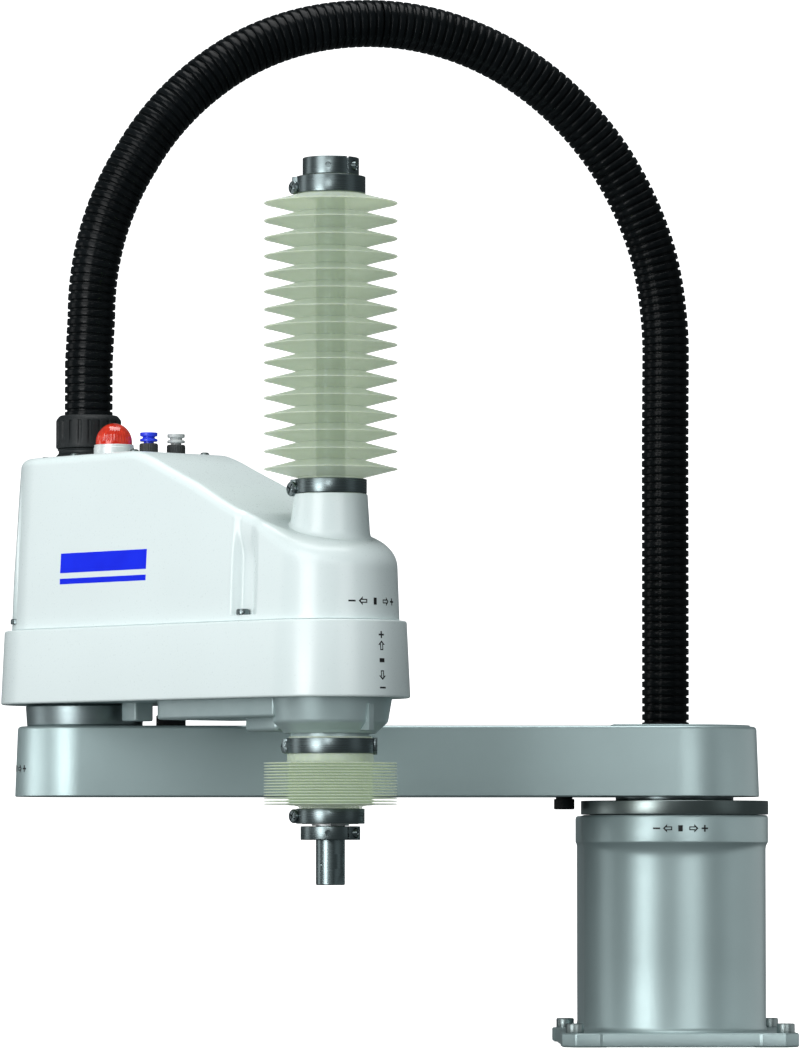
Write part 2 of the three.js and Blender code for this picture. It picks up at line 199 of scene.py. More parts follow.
def lathe(name, profile, mat, body, centre=(0, 0), seg=96, closed=False, local=False, wave=None, **kw):
    V, F = lathe_data(profile, centre, seg, closed, wave)
    if not closed:
        n = len(profile)
        if profile[0][0] > 1e-6:
            F.append(tuple(range(seg))[::-1])
        if profile[-1][0] > 1e-6:
            F.append(tuple(range((n - 1) * seg, n * seg)))
    if local:
        V = arm2(V)
    return make(name, V, F, mat, body, **kw)


def hull(x0, r0, x1, r1, n=28, straight=14):
    """Outline round two circles: (medial x, direction, radius) for every point, counterclockwise."""
    f = math.acos((r0 - r1) / (x1 - x0))
    out = []
    for i in range(n + 1):
        t = -f + 2 * f * i / n
        out.append((x1, 0, math.cos(t), math.sin(t), r1, 1.0))
    for i in range(1, straight):
        k = i / straight
        out.append((x1 + (x0 - x1) * k, 0, math.cos(f), math.sin(f), r1 + (r0 - r1) * k, 1 - k))
    for i in range(n + 1):
        t = f + 2 * (math.pi - f) * i / n
        out.append((x0, 0, math.cos(t), math.sin(t), r0, 0.0))
    for i in range(1, straight):
        k = i / straight
        out.append((x0 + (x1 - x0) * k, 0, math.cos(f), -math.sin(f), r0 + (r1 - r0) * k, k))
    return np.array(out)


def hull_loft_data(x0, r0, x1, r1, profile, n=28, straight=14, closed=False, zfun=None):
    """profile = [(offset added to the radii, z)]. Offsets of -1e9 collapse on the middle line."""
    H = hull(x0, r0, x1, r1, n, straight)
    rings = []
    for off, z in profile:
        rho = np.maximum(H[:, 4] + off, 0.0)
        rings.append(np.stack([H[:, 0] + rho * H[:, 2], rho * H[:, 3], np.full(len(H), z)], -1))
    V = np.concatenate(rings)
    m, F = len(H), []
    for i in range(len(rings) if closed else len(rings) - 1):
        a, b = i * m, ((i + 1) % len(rings)) * m
        for j in range(m):
            k = (j + 1) % m
            F.append((a + j, a + k, b + k, b + j))
    return V, F, m


def hull_loft(name, x0, r0, x1, r1, profile, mat, body, local=False, closed=False, n=28, straight=14, **kw):
    V, F, m = hull_loft_data(x0, r0, x1, r1, profile, n, straight, closed)
    if not closed:
        F.append(tuple(range(m))[::-1])
        F.append(tuple(range(len(V) - m, len(V))))
    if local:
        V = arm2(V)
    return make(name, V, F, mat, body, **kw)


def poly_prism(outline, z0, z1, bevel=0.0, n=3):
    """Closed prism with rounded top and bottom edges: outline is a counterclockwise list."""
    o = np.array(outline, float)
    nxt, prv = np.roll(o, -1, 0), np.roll(o, 1, 0)
    e1, e2 = o - prv, nxt - o
    e1 /= np.linalg.norm(e1, axis=1)[:, None]
    e2 /= np.linalg.norm(e2, axis=1)[:, None]
    n1, n2 = np.stack([e1[:, 1], -e1[:, 0]], -1), np.stack([e2[:, 1], -e2[:, 0]], -1)
    nn = n1 + n2
    nn /= np.maximum((nn * n1).sum(1), 0.3)[:, None]
    levels = []
    if bevel > 0:
        for k in range(n + 1):
            t = math.pi / 2 * k / n
            levels.append((-bevel * (1 - math.sin(t)), z0 + bevel * (1 - math.cos(t))))
        for k in range(n + 1):
            t = math.pi / 2 * k / n
            levels.append((-bevel * (1 - math.cos(t)), z1 - bevel * (1 - math.sin(t))))
    else:
        levels = [(0, z0), (0, z1)]
    V = np.concatenate([np.concatenate([o + nn * d, np.full((len(o), 1), z)], 1) for d, z in levels])
    m, F = len(o), []
    for i in range(len(levels) - 1):
        for j in range(m):
            k = (j + 1) % m
            F.append((i * m + j, i * m + k, (i + 1) * m + k, (i + 1) * m + j))
    F.append(tuple(range(m))[::-1])
    F.append(tuple(range(len(V) - m, len(V))))
    return V, F


def round_poly(points, n=6):
    """points = [(x, y, radius)], closed, counterclockwise."""
    p = list(points)
    ext = [p[-1]] + p + [p[0]]
    out = []
    for i in range(1, len(ext) - 1):
        seg = fillet([ext[i - 1], ext[i], ext[i + 1]], n)
        out += seg[1:-1]
    return out


def circle(cx, cy, r, n=40):
    return [(cx + r * math.cos(2 * math.pi * i / n), cy + r * math.sin(2 * math.pi * i / n)) for i in range(n)]


def box_round(x0, x1, y0, y1, r=2, n=5):
    return round_poly([(x0, y0, r), (x1, y0, r), (x1, y1, r), (x0, y1, r)], n)


def turned_rod(profile, base, axis, seg=32):
    """Lathe data laid along any axis: profile = [(radius, distance)]."""
    V, F = lathe_data(profile, (0, 0), seg)
    n = len(profile)
    if profile[0][0] > 1e-6:
        F.append(tuple(range(seg))[::-1])
    if profile[-1][0] > 1e-6:
        F.append(tuple(range((n - 1) * seg, n * seg)))
    a = np.array(axis, float)
    a /= np.linalg.norm(a)
    h = np.array([0, 0, 1.0]) if abs(a[2]) < 0.9 else np.array([1.0, 0, 0])
    u = np.cross(h, a)
    u /= np.linalg.norm(u)
    v = np.cross(a, u)
    return np.array(base) + V[:, :1] * u + V[:, 1:2] * v + V[:, 2:3] * a, F


def join_data(*parts):
    V, F, n = [], [], 0
    for v, f in parts:
        v = np.asarray(v, float)
        V.append(v)
        F += [tuple(i + n for i in face) for face in f]
        n += len(v)
    return np.concatenate(V), F


def temp(V, F):
    """A throwaway cutter object."""
    me = bpy.data.meshes.new("cutter")
    me.from_pydata([tuple(p) for p in np.asarray(V, float) * MM], [], [list(map(int, f)) for f in F])
    bm = bmesh.new()
    bm.from_mesh(me)
    bmesh.ops.remove_doubles(bm, verts=bm.verts, dist=1e-6)
    bmesh.ops.recalc_face_normals(bm, faces=bm.faces)
    bm.to_mesh(me)
    bm.free()
    ob = bpy.data.objects.new("cutter", me)
    scene.collection.objects.link(ob)
    return ob


# ------------------------------------------------------------------ materials
class Mat:
    def __init__(self, name, color, rough, metal=0.0, **kw):
        self.m = bpy.data.materials.new(name)
        self.m.use_nodes = True
        self.t = self.m.node_tree
        self.b = self.t.nodes["Principled BSDF"]
        self.b.inputs["Base Color"].default_value = (*color, 1)
        self.b.inputs["Roughness"].default_value = rough
        self.b.inputs["Metallic"].default_value = metal
        for k, v in kw.items():
            self.b.inputs[k.replace("_", " ")].default_value = v
        self.coord = self.t.nodes.new("ShaderNodeTexCoord")
        self.bump = None

    def scaled(self, s):
        m = self.t.nodes.new("ShaderNodeMapping")
        m.inputs["Scale"].default_value = s if hasattr(s, "__len__") else (s, s, s)
        self.t.links.new(self.coord.outputs["Object"], m.inputs["Vector"])
        return m.outputs["Vector"]

    def noise(self, scale, detail=3, rough=0.5, stretch=(1, 1, 1), distort=0.0):
        n = self.t.nodes.new("ShaderNodeTexNoise")
        self.t.links.new(self.scaled(stretch), n.inputs["Vector"])
        n.inputs["Scale"].default_value = scale
        n.inputs["Detail"].default_value = detail
        n.inputs["Roughness"].default_value = rough
        n.inputs["Distortion"].default_value = distort
        return n.outputs["Fac"]

    def ramp(self, fac, stops):
        r = self.t.nodes.new("ShaderNodeValToRGB")
        while len(r.color_ramp.elements) < len(stops):
            r.color_ramp.elements.new(0.5)
        for e, (p, c) in zip(r.color_ramp.elements, stops):
            e.position = p
            e.color = (*c, 1) if hasattr(c, "__len__") else (c, c, c, 1)
        self.t.links.new(fac, r.inputs["Fac"])
        return r.outputs["Color"]

    def color(self, fac, stops):
        self.t.links.new(self.ramp(fac, stops), self.b.inputs["Base Color"])
        return self

    def rough(self, fac, lo, hi):
        m = self.t.nodes.new("ShaderNodeMapRange")
        m.inputs["From Min"].default_value, m.inputs["From Max"].default_value = 0.3, 0.7
        m.inputs["To Min"].default_value, m.inputs["To Max"].default_value = lo, hi
        self.t.links.new(fac, m.inputs["Value"])
        self.t.links.new(m.outputs["Result"], self.b.inputs["Roughness"])
        return self

    def bumps(self, fac, strength, dist):
        b = self.t.nodes.new("ShaderNodeBump")
        b.inputs["Strength"].default_value = strength
        b.inputs["Distance"].default_value = dist
        self.t.links.new(fac, b.inputs["Height"])
        if self.bump:
            self.t.links.new(self.bump, b.inputs["Normal"])
        self.bump = b.outputs["Normal"]
        self.t.links.new(self.bump, self.b.inputs["Normal"])
        return self


def mix(c, k):
    return tuple(min(1, x * k) for x in c)


CAST = (0.33, 0.425, 0.43)
m_cast = Mat("silver_paint", CAST, 0.4, 0.6, Coat_Weight=0.2, Coat_Roughness=0.3)
f = m_cast.noise(900, 4, 0.6)
m_cast.color(m_cast.noise(14, 3), [(0.35, mix(CAST, 0.97)), (0.65, mix(CAST, 1.03))]).rough(f, 0.36, 0.46)
m_cast.bumps(f, 0.12, 0.00012)

WHITE = (0.72, 0.815, 0.815)
m_white = Mat("cover_white", WHITE, 0.34, 0.0, Coat_Weight=0.15, Coat_Roughness=0.15)
f = m_white.noise(700, 3, 0.6)
m_white.color(m_white.noise(9, 2), [(0.35, mix(WHITE, 0.985)), (0.65, mix(WHITE, 1.01))]).rough(f, 0.26, 0.36)
m_white.bumps(f, 0.06, 0.0001)

m_under = Mat("cast_grey", (0.39, 0.49, 0.495), 0.4, 0.45)
f = m_under.noise(420, 4, 0.6)
m_under.rough(f, 0.36, 0.5).bumps(f, 0.25, 0.0002)
m_under.color(m_under.noise(25, 3), [(0.3, (0.36, 0.46, 0.465)), (0.7, (0.42, 0.52, 0.525))])


def turned_metal(name, color, rough, ring_scale=900, strength=0.18, aniso=0.4):
    m = Mat(name, color, rough, 1.0, Anisotropic=aniso)
    g = m.noise(ring_scale, 2, 0.5, stretch=(0.003, 0.003, 1))
    m.color(m.noise(90, 3), [(0.3, mix(color, 0.94)), (0.7, mix(color, 1.05))]).rough(g, rough - 0.02, rough + 0.03)
    m.bumps(g, strength, 0.00002)
    return m


m_disc = turned_metal("brushed_steel_ring", (0.21, 0.25, 0.245), 0.3)
m_dark = turned_metal("dark_steel", (0.15, 0.185, 0.19), 0.28, 1200, 0.012)
m_shaft = turned_metal("ground_steel", (0.18, 0.225, 0.23), 0.27, 1500, 0.008)
m_bolt = turned_metal("bolt_steel", (0.20, 0.24, 0.24), 0.36, 1400, 0.12)
m_drum = turned_metal("drum_steel", (0.27, 0.33, 0.34), 0.38, 900, 0.06)
m_alu = Mat("machined_aluminium", (0.6, 0.62, 0.63), 0.38, 0.9)
m_alu.rough(m_alu.noise(500, 3, 0.5, stretch=(1, 1, 0.05)), 0.3, 0.45).bumps(m_alu.noise(900, 2), 0.1, 0.0001)
m_lampbase = Mat("lamp_base_silver", (0.70, 0.75, 0.75), 0.35, 0.3)
m_lampbase.rough(m_lampbase.noise(500, 3), 0.3, 0.42).bumps(m_lampbase.noise(900, 2), 0.06, 0.0001)

BLK = (0.003, 0.0045, 0.0055)
m_hose = Mat("hose_black", BLK, 0.4, 0.0, Specular_IOR_Level=0.04, Coat_Weight=0.11, Coat_Roughness=0.16)
f = m_hose.noise(420, 4, 0.6)
m_hose.color(m_hose.noise(30, 3), [(0.3, (0.0025, 0.0035, 0.004)), (0.7, (0.005, 0.0065, 0.0075))]).rough(f, 0.24, 0.38)
m_hose.bumps(f, 0.1, 0.0001)
m_nut = Mat("gland_black", (0.008, 0.010, 0.011), 0.42, 0.0, Specular_IOR_Level=0.28)
f = m_nut.noise(600, 4, 0.6)
m_nut.rough(f, 0.42, 0.6).bumps(f, 0.2, 0.0002)
m_nut.color(m_nut.noise(40, 3), [(0.3, (0.008, 0.0105, 0.0115)), (0.7, (0.014, 0.0175, 0.019))])
m_fitblack = Mat("fitting_black", (0.03, 0.033, 0.033), 0.6)
m_fitblack.rough(m_fitblack.noise(700, 3), 0.5, 0.7).bumps(m_fitblack.noise(900, 3), 0.3, 0.0002)
m_blue = Mat("fitting_blue", (0.015, 0.05, 0.9), 0.35)
m_blue.rough(m_blue.noise(500, 3), 0.3, 0.42).color(m_blue.noise(50, 2), [(0.3, (0.018, 0.045, 0.70)), (0.7, (0.025, 0.06, 0.82))])
m_grey = Mat("fitting_grey", (0.55, 0.58, 0.58), 0.4)
m_grey.rough(m_grey.noise(500, 3), 0.33, 0.48).color(m_grey.noise(50, 2), [(0.3, (0.5, 0.53, 0.53)), (0.7, (0.6, 0.63, 0.63))])
m_lens = Mat("lamp_red_lens", (0.85, 0.06, 0.02), 0.12, 0.0, Transmission_Weight=0.35, IOR=1.49, Coat_Weight=0.6)
m_lens.color(m_lens.noise(160, 2), [(0.35, (0.62, 0.02, 0.008)), (0.65, (0.86, 0.06, 0.025))])
m_lens.b.inputs["Emission Color"].default_value = (1.0, 0.10, 0.04, 1)
m_lens.b.inputs["Emission Strength"].default_value = 0.06
m_core = Mat("lamp_inner", (0.45, 0.03, 0.01), 0.5)
m_core.color(m_core.noise(120, 2), [(0.3, (0.3, 0.01, 0.005)), (0.7, (0.7, 0.06, 0.02))])

BEL = (0.55, 0.63, 0.51)
m_bel = Mat("bellows_film", BEL, 0.38, 0.0, Subsurface_Weight=0.55, Subsurface_Scale=0.006, Specular_IOR_Level=0.4)
# painted light: the film glows weakly through its emission, a painted stand-in for light shining through the thin film;
# every bellows part with this material glows
m_bel.b.inputs["Emission Color"].default_value = (0.70, 0.82, 0.66, 1)
m_bel.b.inputs["Emission Strength"].default_value = 0.13
m_bel.b.inputs["Subsurface Radius"].default_value = (1.0, 1.0, 0.6)
m_bel.b.inputs["Alpha"].default_value = 0.56
f = m_bel.noise(120, 4, 0.6)
m_bel.color(m_bel.noise(26, 4, 0.6, distort=0.4), [(0.3, mix(BEL, 0.93)), (0.7, mix(BEL, 1.05))]).rough(f, 0.3, 0.46)
m_bel.bumps(m_bel.noise(260, 3), 0.08, 0.0002)

m_mark = Mat("mark_ink", (0.012, 0.013, 0.014), 0.55)
m_mark.rough(m_mark.noise(800, 2), 0.5, 0.62)
m_stripe = Mat("blue_stripe_ink", (0.001, 0.018, 0.75), 0.5, Specular_IOR_Level=0.15)
m_stripe.color(m_stripe.noise(40, 2), [(0.3, (0.001, 0.015, 0.80)), (0.7, (0.002, 0.022, 0.88))])
m_motor = Mat("motor_black", (0.025, 0.027, 0.03), 0.45, 0.2)
m_motor.rough(m_motor.noise(400, 3), 0.38, 0.55).bumps(m_motor.noise(500, 3), 0.15, 0.0002)
# the pressed copy keeps the same painted glow
film_dense = m_bel.m.copy()
film_dense.name = "bellows_film_pressed"
film_dense.node_tree.nodes["Principled BSDF"].inputs["Alpha"].default_value = 0.93
m_belt = Mat("belt_rubber", (0.02, 0.02, 0.02), 0.8)
m_belt.rough(m_belt.noise(500, 3), 0.7, 0.88).bumps(m_belt.noise(700, 3), 0.3, 0.0002)
m_hole = Mat("hole_shadow", (0.01, 0.012, 0.012), 0.6, 0.5)
m_hole.rough(m_hole.noise(300, 2), 0.5, 0.7)

for n, m in {"j1_motor": m_motor, "j2_motor": m_motor, "u_motor": m_motor, "z_motor": m_motor, "u_belt": m_belt, "z_belt": m_belt,
             "j1_reducer": m_alu, "j2_reducer": m_alu, "motor_bracket": m_alu, "u_motor_pulley": m_alu, "z_motor_pulley": m_alu, "z_brake": m_alu,
             "upper_bellows_holder": m_alu, "lower_bellows_holder": m_alu, "spline_nut": m_shaft, "ball_screw_nut": m_shaft}.items():
    CAD[n].data.materials.clear()
    CAD[n].data.materials.append(m.m)

# ------------------------------------------------------------------ hose: one corrugated hose in two runs, joined at its apex
HALF = math.hypot(A1, 114.0) / 2


def along(u, z):
    return (-A1 + A1 * u / (2 * HALF), 114.0 * u / (2 * HALF), z)


def dense(fun, a, b, n):
    return [fun(a + (b - a) * i / n) for i in range(n + 1)]


left = dense(lambda z: along(0, z), 429, 528, 60)[:-1] + dense(lambda t: along(HALF - HALF * math.cos(t), 528 + 216 * math.sin(t)), 0, math.pi / 2 - 0.002, 300)
right = dense(lambda t: along(HALF + HALF * math.sin(t), 506 + 238 * math.cos(t)), 0.002, math.pi / 2, 300)[:-1] + dense(lambda z: along(2 * HALF, z), 506, 168, 160)


def lean(pts, zs_, xs_):
    """The real hose is not quite a true arch: shift it along X by height, and lift its crown a little."""
    return [(p[0] + float(np.interp(p[2], zs_, xs_)), p[1], p[2] + 1.4 * float(np.interp(p[2], (640, 720), (0, 1)))) for p in pts]


left = lean(left, (429, 490, 525, 640, 700, 742, 744), (2.2, 2.2, 4.0, 4.9, 3.0, 0.0, 0.0))
right = lean(right, (168, 440, 540, 580, 650, 700, 742, 744), (0.6, 0.8, 1.6, 2.8, 2.8, 1.6, 0.0, 0.0))


def hose(name, pts, body_a, body_b, start, end, node, other):
    P = np.array(pts, float)
    L = np.r_[0, np.cumsum(np.linalg.norm(np.diff(P, axis=0), axis=1))]
    total, pitch, R, depth = L[-1], 6.05, 17.35, 1.7
    if name == "hose_base_run":            # rings counted from the apex on both runs
        base = np.arange(0, total, pitch)
    else:
        base = total - np.arange(0, total, pitch)[::-1] - pitch
        base = base[base > 0]
    ss, rr = [0.0], [R]
    for b in base:
        for ds, r in ((0.0, R - depth), (0.95, R - depth), (1.25, R - 0.25), (1.65, R), (5.05, R), (5.45, R - 0.25), (5.75, R - depth)):
            s = b + ds
            if ss[-1] + 1e-4 < s < total:
                ss.append(s)
                rr.append(r)
    ss.append(total)
    rr.append(rr[-1])
    ss, rr = np.array(ss), np.array(rr)
    C = np.stack([np.interp(ss, L, P[:, k]) for k in range(3)], -1)
    T = np.gradient(C, ss, axis=0)
    T /= np.linalg.norm(T, axis=1)[:, None]
    side = np.array([-114.0, A1, 0]) / math.hypot(A1, 114.0)      # normal of the hose's own plane
    U = np.cross(T, side)
    U /= np.linalg.norm(U, axis=1)[:, None]
    seg = 40
    th = np.linspace(0, 2 * math.pi, seg, endpoint=False)
    V = C[:, None, :] + rr[:, None, None] * (np.cos(th)[None, :, None] * U[:, None, :] + np.sin(th)[None, :, None] * side)
    V = V.reshape(-1, 3)
    F = [(i * seg + j, i * seg + (j + 1) % seg, (i + 1) * seg + (j + 1) % seg, (i + 1) * seg + j) for i in range(len(ss) - 1) for j in range(seg)]
    F.append(tuple(range(seg))[::-1])
    F.append(tuple(range(len(V) - seg, len(V))))
    me = bpy.data.meshes.new(name)
    me.from_pydata([tuple(p) for p in V * MM], [], F)
    me.polygons.foreach_set("use_smooth", [True] * len(me.polygons))
    me.set_sharp_from_angle(angle=math.radians(50))
    me.materials.append(m_hose.m)
    ob = bpy.data.objects.new(name, me)
    scene.collection.objects.link(ob)
    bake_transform(ob, body_a, body_b, start=tuple(np.array(start) * MM), end=tuple(np.array(end) * MM))
    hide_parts(node)
    path = [tuple(Vector(p) * MM) for p in P[:: max(1, len(P) // 60)]]
    if np.linalg.norm(np.array(path[-1]) - P[-1] * MM) > 1e-6:
        path.append(tuple(P[-1] * MM))
    return ob


hose_arm = hose("hose_arm_run", left, "arm_2", "arm_1", along(0, 455), along(HALF, 744), "hose_arm_half", None)
hose_base = hose("hose_base_run", right[::-1], "base", "arm_1", along(2 * HALF, 262), along(HALF, 744), "hose_base_half", None)

# ------------------------------------------------------------------ base
R, Wd, rear = 65.5, 64.0, 145.0


def base_outline(r, w, back, corner=9.0, n=40):
    pts = []
    for i in range(n + 1):
        t = math.pi + math.pi * i / n
        pts.append((r * math.cos(t), r * math.sin(t)))
    pts += [(w, 20), (w, 60)]
    for i in range(7):
        t = math.pi / 2 * i / 6
        pts.append((w - corner + corner * math.cos(t), back - corner + corner * math.sin(t)))
    for i in range(7):
        t = math.pi / 2 + math.pi / 2 * i / 6
        pts.append((-w + corner + corner * math.cos(t), back - corner + corner * math.sin(t)))
    pts += [(-w, 60), (-w, 20)]
    return pts


# the top band stands further out at the front than at the sides, so the slope under it is deeper there
low_o = np.array(base_outline(R, Wd, rear))
low_o[:41, 1] = low_o[:41, 1] * (63.4 / 65.5)
band_o = np.array(base_outline(67.3, Wd + 1.0, rear))
gap = np.linalg.norm(band_o - low_o, axis=1)
drop = np.clip(gap * 3.2, 1.5, 12.5)
rings = []
for d, z in ((3.4, 4.0), (3.4, 9.8), (1.7, 10.4), (0.6, 11.7), (0.0, 13.8)):
    o = np.array(base_outline(R + d, Wd + d * 0.6, rear))
    o[:41, 1] = o[:41, 1] * ((63.4 + d) / (65.5 + d))
    rings.append(np.c_[o, np.full(len(o), z)])
for z in (60.0, 120.0):
    rings.append(np.c_[low_o, np.full(len(low_o), z)])
for t, g in ((0, 0), (0.2, 0.03), (0.4, 0.12), (0.6, 0.3), (0.8, 0.62), (0.9, 0.82), (0.97, 0.95), (1.0, 0.985), (1.06, 1.0)):
    rings.append(np.c_[low_o + (band_o - low_o) * g, 145.6 - drop * (1 - t) if t <= 1 else np.full(len(low_o), 146.4)])
for d, z in ((0, 150), (0, 162.8), (-0.35, 164.1), (-1.1, 164.8), (-2.2, 165.0), (-9, 165.0)):
    o = np.array(base_outline(67.3 + d, Wd + 1.0 + d, rear + d))
    rings.append(np.c_[o, np.full(len(o), z)])
V = np.concatenate(rings)
m = len(rings[0])
F = [(i * m + j, i * m + (j + 1) % m, (i + 1) * m + (j + 1) % m, (i + 1) * m + j) for i in range(len(rings) - 1) for j in range(m)]
F += [tuple(range(m))[::-1], tuple(range(len(V) - m, len(V)))]
column = (V, F)
# foot plate: rounded lugs at the bolts, edges between the lugs set in
PH = 84.5
plate_pts = round_poly([(-PH, -62, 4), (-75, -72, 4), (-58, -72, 3), (-55.5, -70.8, 2), (55.5, -70.8, 2), (58, -72, 3), (75, -72, 4), (PH, -62, 4),
                        (PH, -44, 3), (83, -41, 2), (83, 70, 2), (PH, 73, 3), (PH, 94, 5), (78, 100, 5),
                        (-78, 100, 5), (-PH, 94, 5), (-PH, 73, 3), (-83, 70, 2), (-83, -41, 2), (-PH, -44, 3)], 6)
V2, F2 = poly_prism(plate_pts, 0.0, 10.0, 1.4, 4)
base_ob = make("base_casting_body", V2, F2, m_cast.m, None)
col_ob = temp(*column)
cut(base_ob, [col_ob], "UNION")
notches = [temp(*poly_prism([(-53, -80), (53, -80), (53, -66), (-53, -66)], -1, 1.1))]
holes = [temp(*poly_prism(circle(x, y, 4.5, 24), -1, 12)) for x in (-75, 75) for y in (-60, 90)]
panel_cut = temp(*join_data(poly_prism([(-50, 141.8), (50, 141.8), (50, 150), (-50, 150)], 22, 150)))
cut(base_ob, notches + holes + [panel_cut])
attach(base_ob, "base"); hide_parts("base_casting")

for i, (x, y) in enumerate(((-75, -60), (75, -60), (-75, 90), (75, 90))):
    pr = fillet([(0, 10.1), (6.5, 10.1), (6.5, 18.3, 0.7), (4.4, 18.3, 0), (4.4, 18.3)], 4)
    V, F = lathe_data([(0, 10.1), (6.45, 10.1), (6.5, 10.4), (6.5, 15.8), (6.3, 16.4), (5.8, 16.7), (4.3, 16.7)], (x, y), 64)
    k = len(V) - 64
    hexr = []
    for z in (16.7, 16.4, 12.6):
        rr_ = 4.0 if z == 16.7 else 3.75
        ring_ = []
        for j in range(64):
            t = 2 * math.pi * j / 64
            a = (t % (math.pi / 3)) - math.pi / 6
            ring_.append((x + 3.35 * rr_ / 3.75 / math.cos(a) * math.cos(t), y + 3.35 * rr_ / 3.75 / math.cos(a) * math.sin(t), z))
        hexr.append(ring_)
    V = np.concatenate([V, np.array(hexr).reshape(-1, 3)])
    for lv in range(3):
        a, b = k + lv * 64, k + (lv + 1) * 64
        F += [(a + j, a + (j + 1) % 64, b + (j + 1) % 64, b + j) for j in range(64)]
    F.append(tuple(range(len(V) - 64, len(V))))
    Va = V.copy()
    d = Va[:, :2] - np.array([x, y])
    rad = np.linalg.norm(d, axis=1)
    make(f"mount_bolt_{i + 1}_head", Va, F, m_bolt.m, "base", slot="bright_steel", replaces=(f"mount_bolt_{i + 1}",), sharp=28)

lathe("j1_bearing_disc_ring", fillet([(40.6, 165.3), (67.5, 165.3, 0.5), (67.5, 175.2, 0.6), (40.6, 175.2)], 4), m_disc.m, "base", seg=160, closed=True,
      slot="bright_steel", replaces=("j1_bearing_disc",))
V, F = poly_prism(box_round(-49.6, 49.6, 142.1, 145.0, 0.5), 22.4, 149.6, 0.6)
panel = make("rear_panel_plate", V, F, m_alu.m, "base", slot="bare_aluminium", replaces=("rear_connector_panel",))
for name, node, x0, x1, z0, z1, slot_ in (("power_connector_shell", "power_connector", -42, -4, 34, 62, "black_plastic"),
                                          ("signal_connector_shell", "signal_connector", 6, 42, 36, 60, "black_plastic")):
    y0, y1 = 145.3, 154.0
    parts = []
    outer_ = round_poly([(x0, z0, 3), (x1, z0, 3), (x1, z1, 3), (x0, z1, 3)], 5)
    Vc, Fc = poly_prism(outer_, 0, y1 - y0, 0.8, 3)
    Vc = np.stack([Vc[:, 0], y0 + Vc[:, 2], Vc[:, 1]], -1)
    ob = make(name, Vc, Fc, m_nut.m, None)
    inner_ = round_poly([(x0 + 3, z0 + 3, 2), (x1 - 3, z0 + 3, 2), (x1 - 3, z1 - 3, 2), (x0 + 3, z1 - 3, 2)], 4)
    Vi, Fi = poly_prism(inner_, 0, 8)
    Vi = np.stack([Vi[:, 0], y0 + 3 + Vi[:, 2], Vi[:, 1]], -1)
    cut(ob, [temp(Vi, Fi)])
    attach(ob, "base"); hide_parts(node)
    pins = []
    for px in np.linspace(x0 + 8, x1 - 8, 5):
        for pz in np.linspace(z0 + 8, z1 - 8, 3):
            pins.append(turned_rod([(0, 0), (0.9, 0), (0.9, 4.2), (0.5, 4.8), (0, 4.8)], (px, y0 + 3.0, pz), (0, 1, 0), 12))
    make(name + "_pins", *join_data(*pins), m_disc.m, "base", slot="bright_steel")
screws = []
for px in (-44, 44):
    for pz in (28, 144):
        screws.append(turned_rod([(0, 0), (3.0, 0), (3.0, 1.0), (2.3, 1.9), (1.3, 2.1), (1.2, 1.2), (0, 1.2)], (px, 145.0, pz), (0, 1, 0), 28))
make("rear_panel_screws", *join_data(*screws), m_bolt.m, "base", slot="bright_steel")


def fluted(count, depth, z0, z1):
    def f(R_, Z_, th):
        ph = (th * count / (2 * math.pi)) % 1.0
        g = np.clip((np.abs(ph - 0.5) - 0.33) / 0.05, 0, 1)          # groove near ph = 0
        inside = np.clip((Z_ - z0) / 1.0, 0, 1) * np.clip((z1 - Z_) / 1.0, 0, 1)
        outer = (R_ > 20.5)
        return R_ - depth * g * inside * outer
    return f


gl = lambda z0, z1, ri=17.45: [(ri, z0), (22.0, z0), (23.2, z0 + 0.5), (23.5, z0 + 1.4), (23.5, z0 + 2.2), (23.5, z0 + 3.2)] + \
    [(23.5, z0 + 3.2 + (z1 - z0 - 9) * k / 4) for k in range(1, 5)] + [(23.5, z1 - 4.6), (23.5, z1 - 3.8), (22.9, z1 - 2.6), (21.6, z1 - 1.0), (20.8, z1 - 0.25), (20.2, z1), (ri, z1)]
lathe("base_gland_nut", gl(172.0, 197.0), m_nut.m, "base", centre=(0, 114), seg=240, closed=True, wave=fluted(20, 0.9, 176, 192), slot="black_plastic", replaces=("base_hose_gland",))
lathe("base_gland_foot", fillet([(12, 165.2), (22.6, 165.2, 0.8), (22.6, 171.6, 0.8), (12, 171.6)], 3), m_nut.m, "base", centre=(0, 114), seg=96, closed=True, slot="black_plastic")

# ------------------------------------------------------------------ first link
prof = fillet([(-1e3, 178), (0, 178, 1.0), (-1.9, 228.5, 3.0), (-16, 228.5)], 6)
prof = [(max(a, -61), z) for a, z in prof]
prof = fillet([(-22, 178), (0, 178, 0.9), (-1.9, 228.5, 2.6), (-22, 228.5)], 7)
arm1_ob = hull_loft("arm_1_casting_body", -A1, 50.0, 0.0, 61.0, prof, m_cast.m, None, n=64, straight=30)
V, F = lathe_data(fillet([(0, 170), (36, 170), (36, 184), (0, 184)], 2), (0, 0), 64)
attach(arm1_ob, "arm_1"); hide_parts("arm_1_casting")
# raised cover over the first joint on the link's top
f_ = math.acos((50.0 - 61.0) / A1)
pad = []
for i in range(65):
    t = -f_ + 2 * f_ * i / 64
    pad.append((54.5 * math.cos(t), 54.5 * math.sin(t)))
pad += [(-47, 53.2), (-47, -53.2)]
V, F = poly_prism(pad, 228.4, 229.5, 0.45, 3)
make("arm_1_top_cover", V, F, m_cast.m, "arm_1", slot="casting_paint")
lathe("j1_output_flange_body", fillet([(0, 165.6), (39.9, 165.6), (39.9, 175.5), (42.5, 175.5, 0.4), (42.5, 177.9), (0, 177.9)], 3), m_dark.m, "arm_1", seg=120,
      slot="dark_steel", replaces=("j1_output_flange",))
lathe("j1_stopper_bolt_head", fillet([(0, 169), (7.4, 169, 0.8), (7.4, 176.4, 0.4), (6.0, 176.6), (6.0, 178.0), (0, 178.0)], 4), m_nut.m, "arm_1", centre=(-79.6, 0), seg=64,
      slot="black_plastic", replaces=("j1_stopper_bolt",))
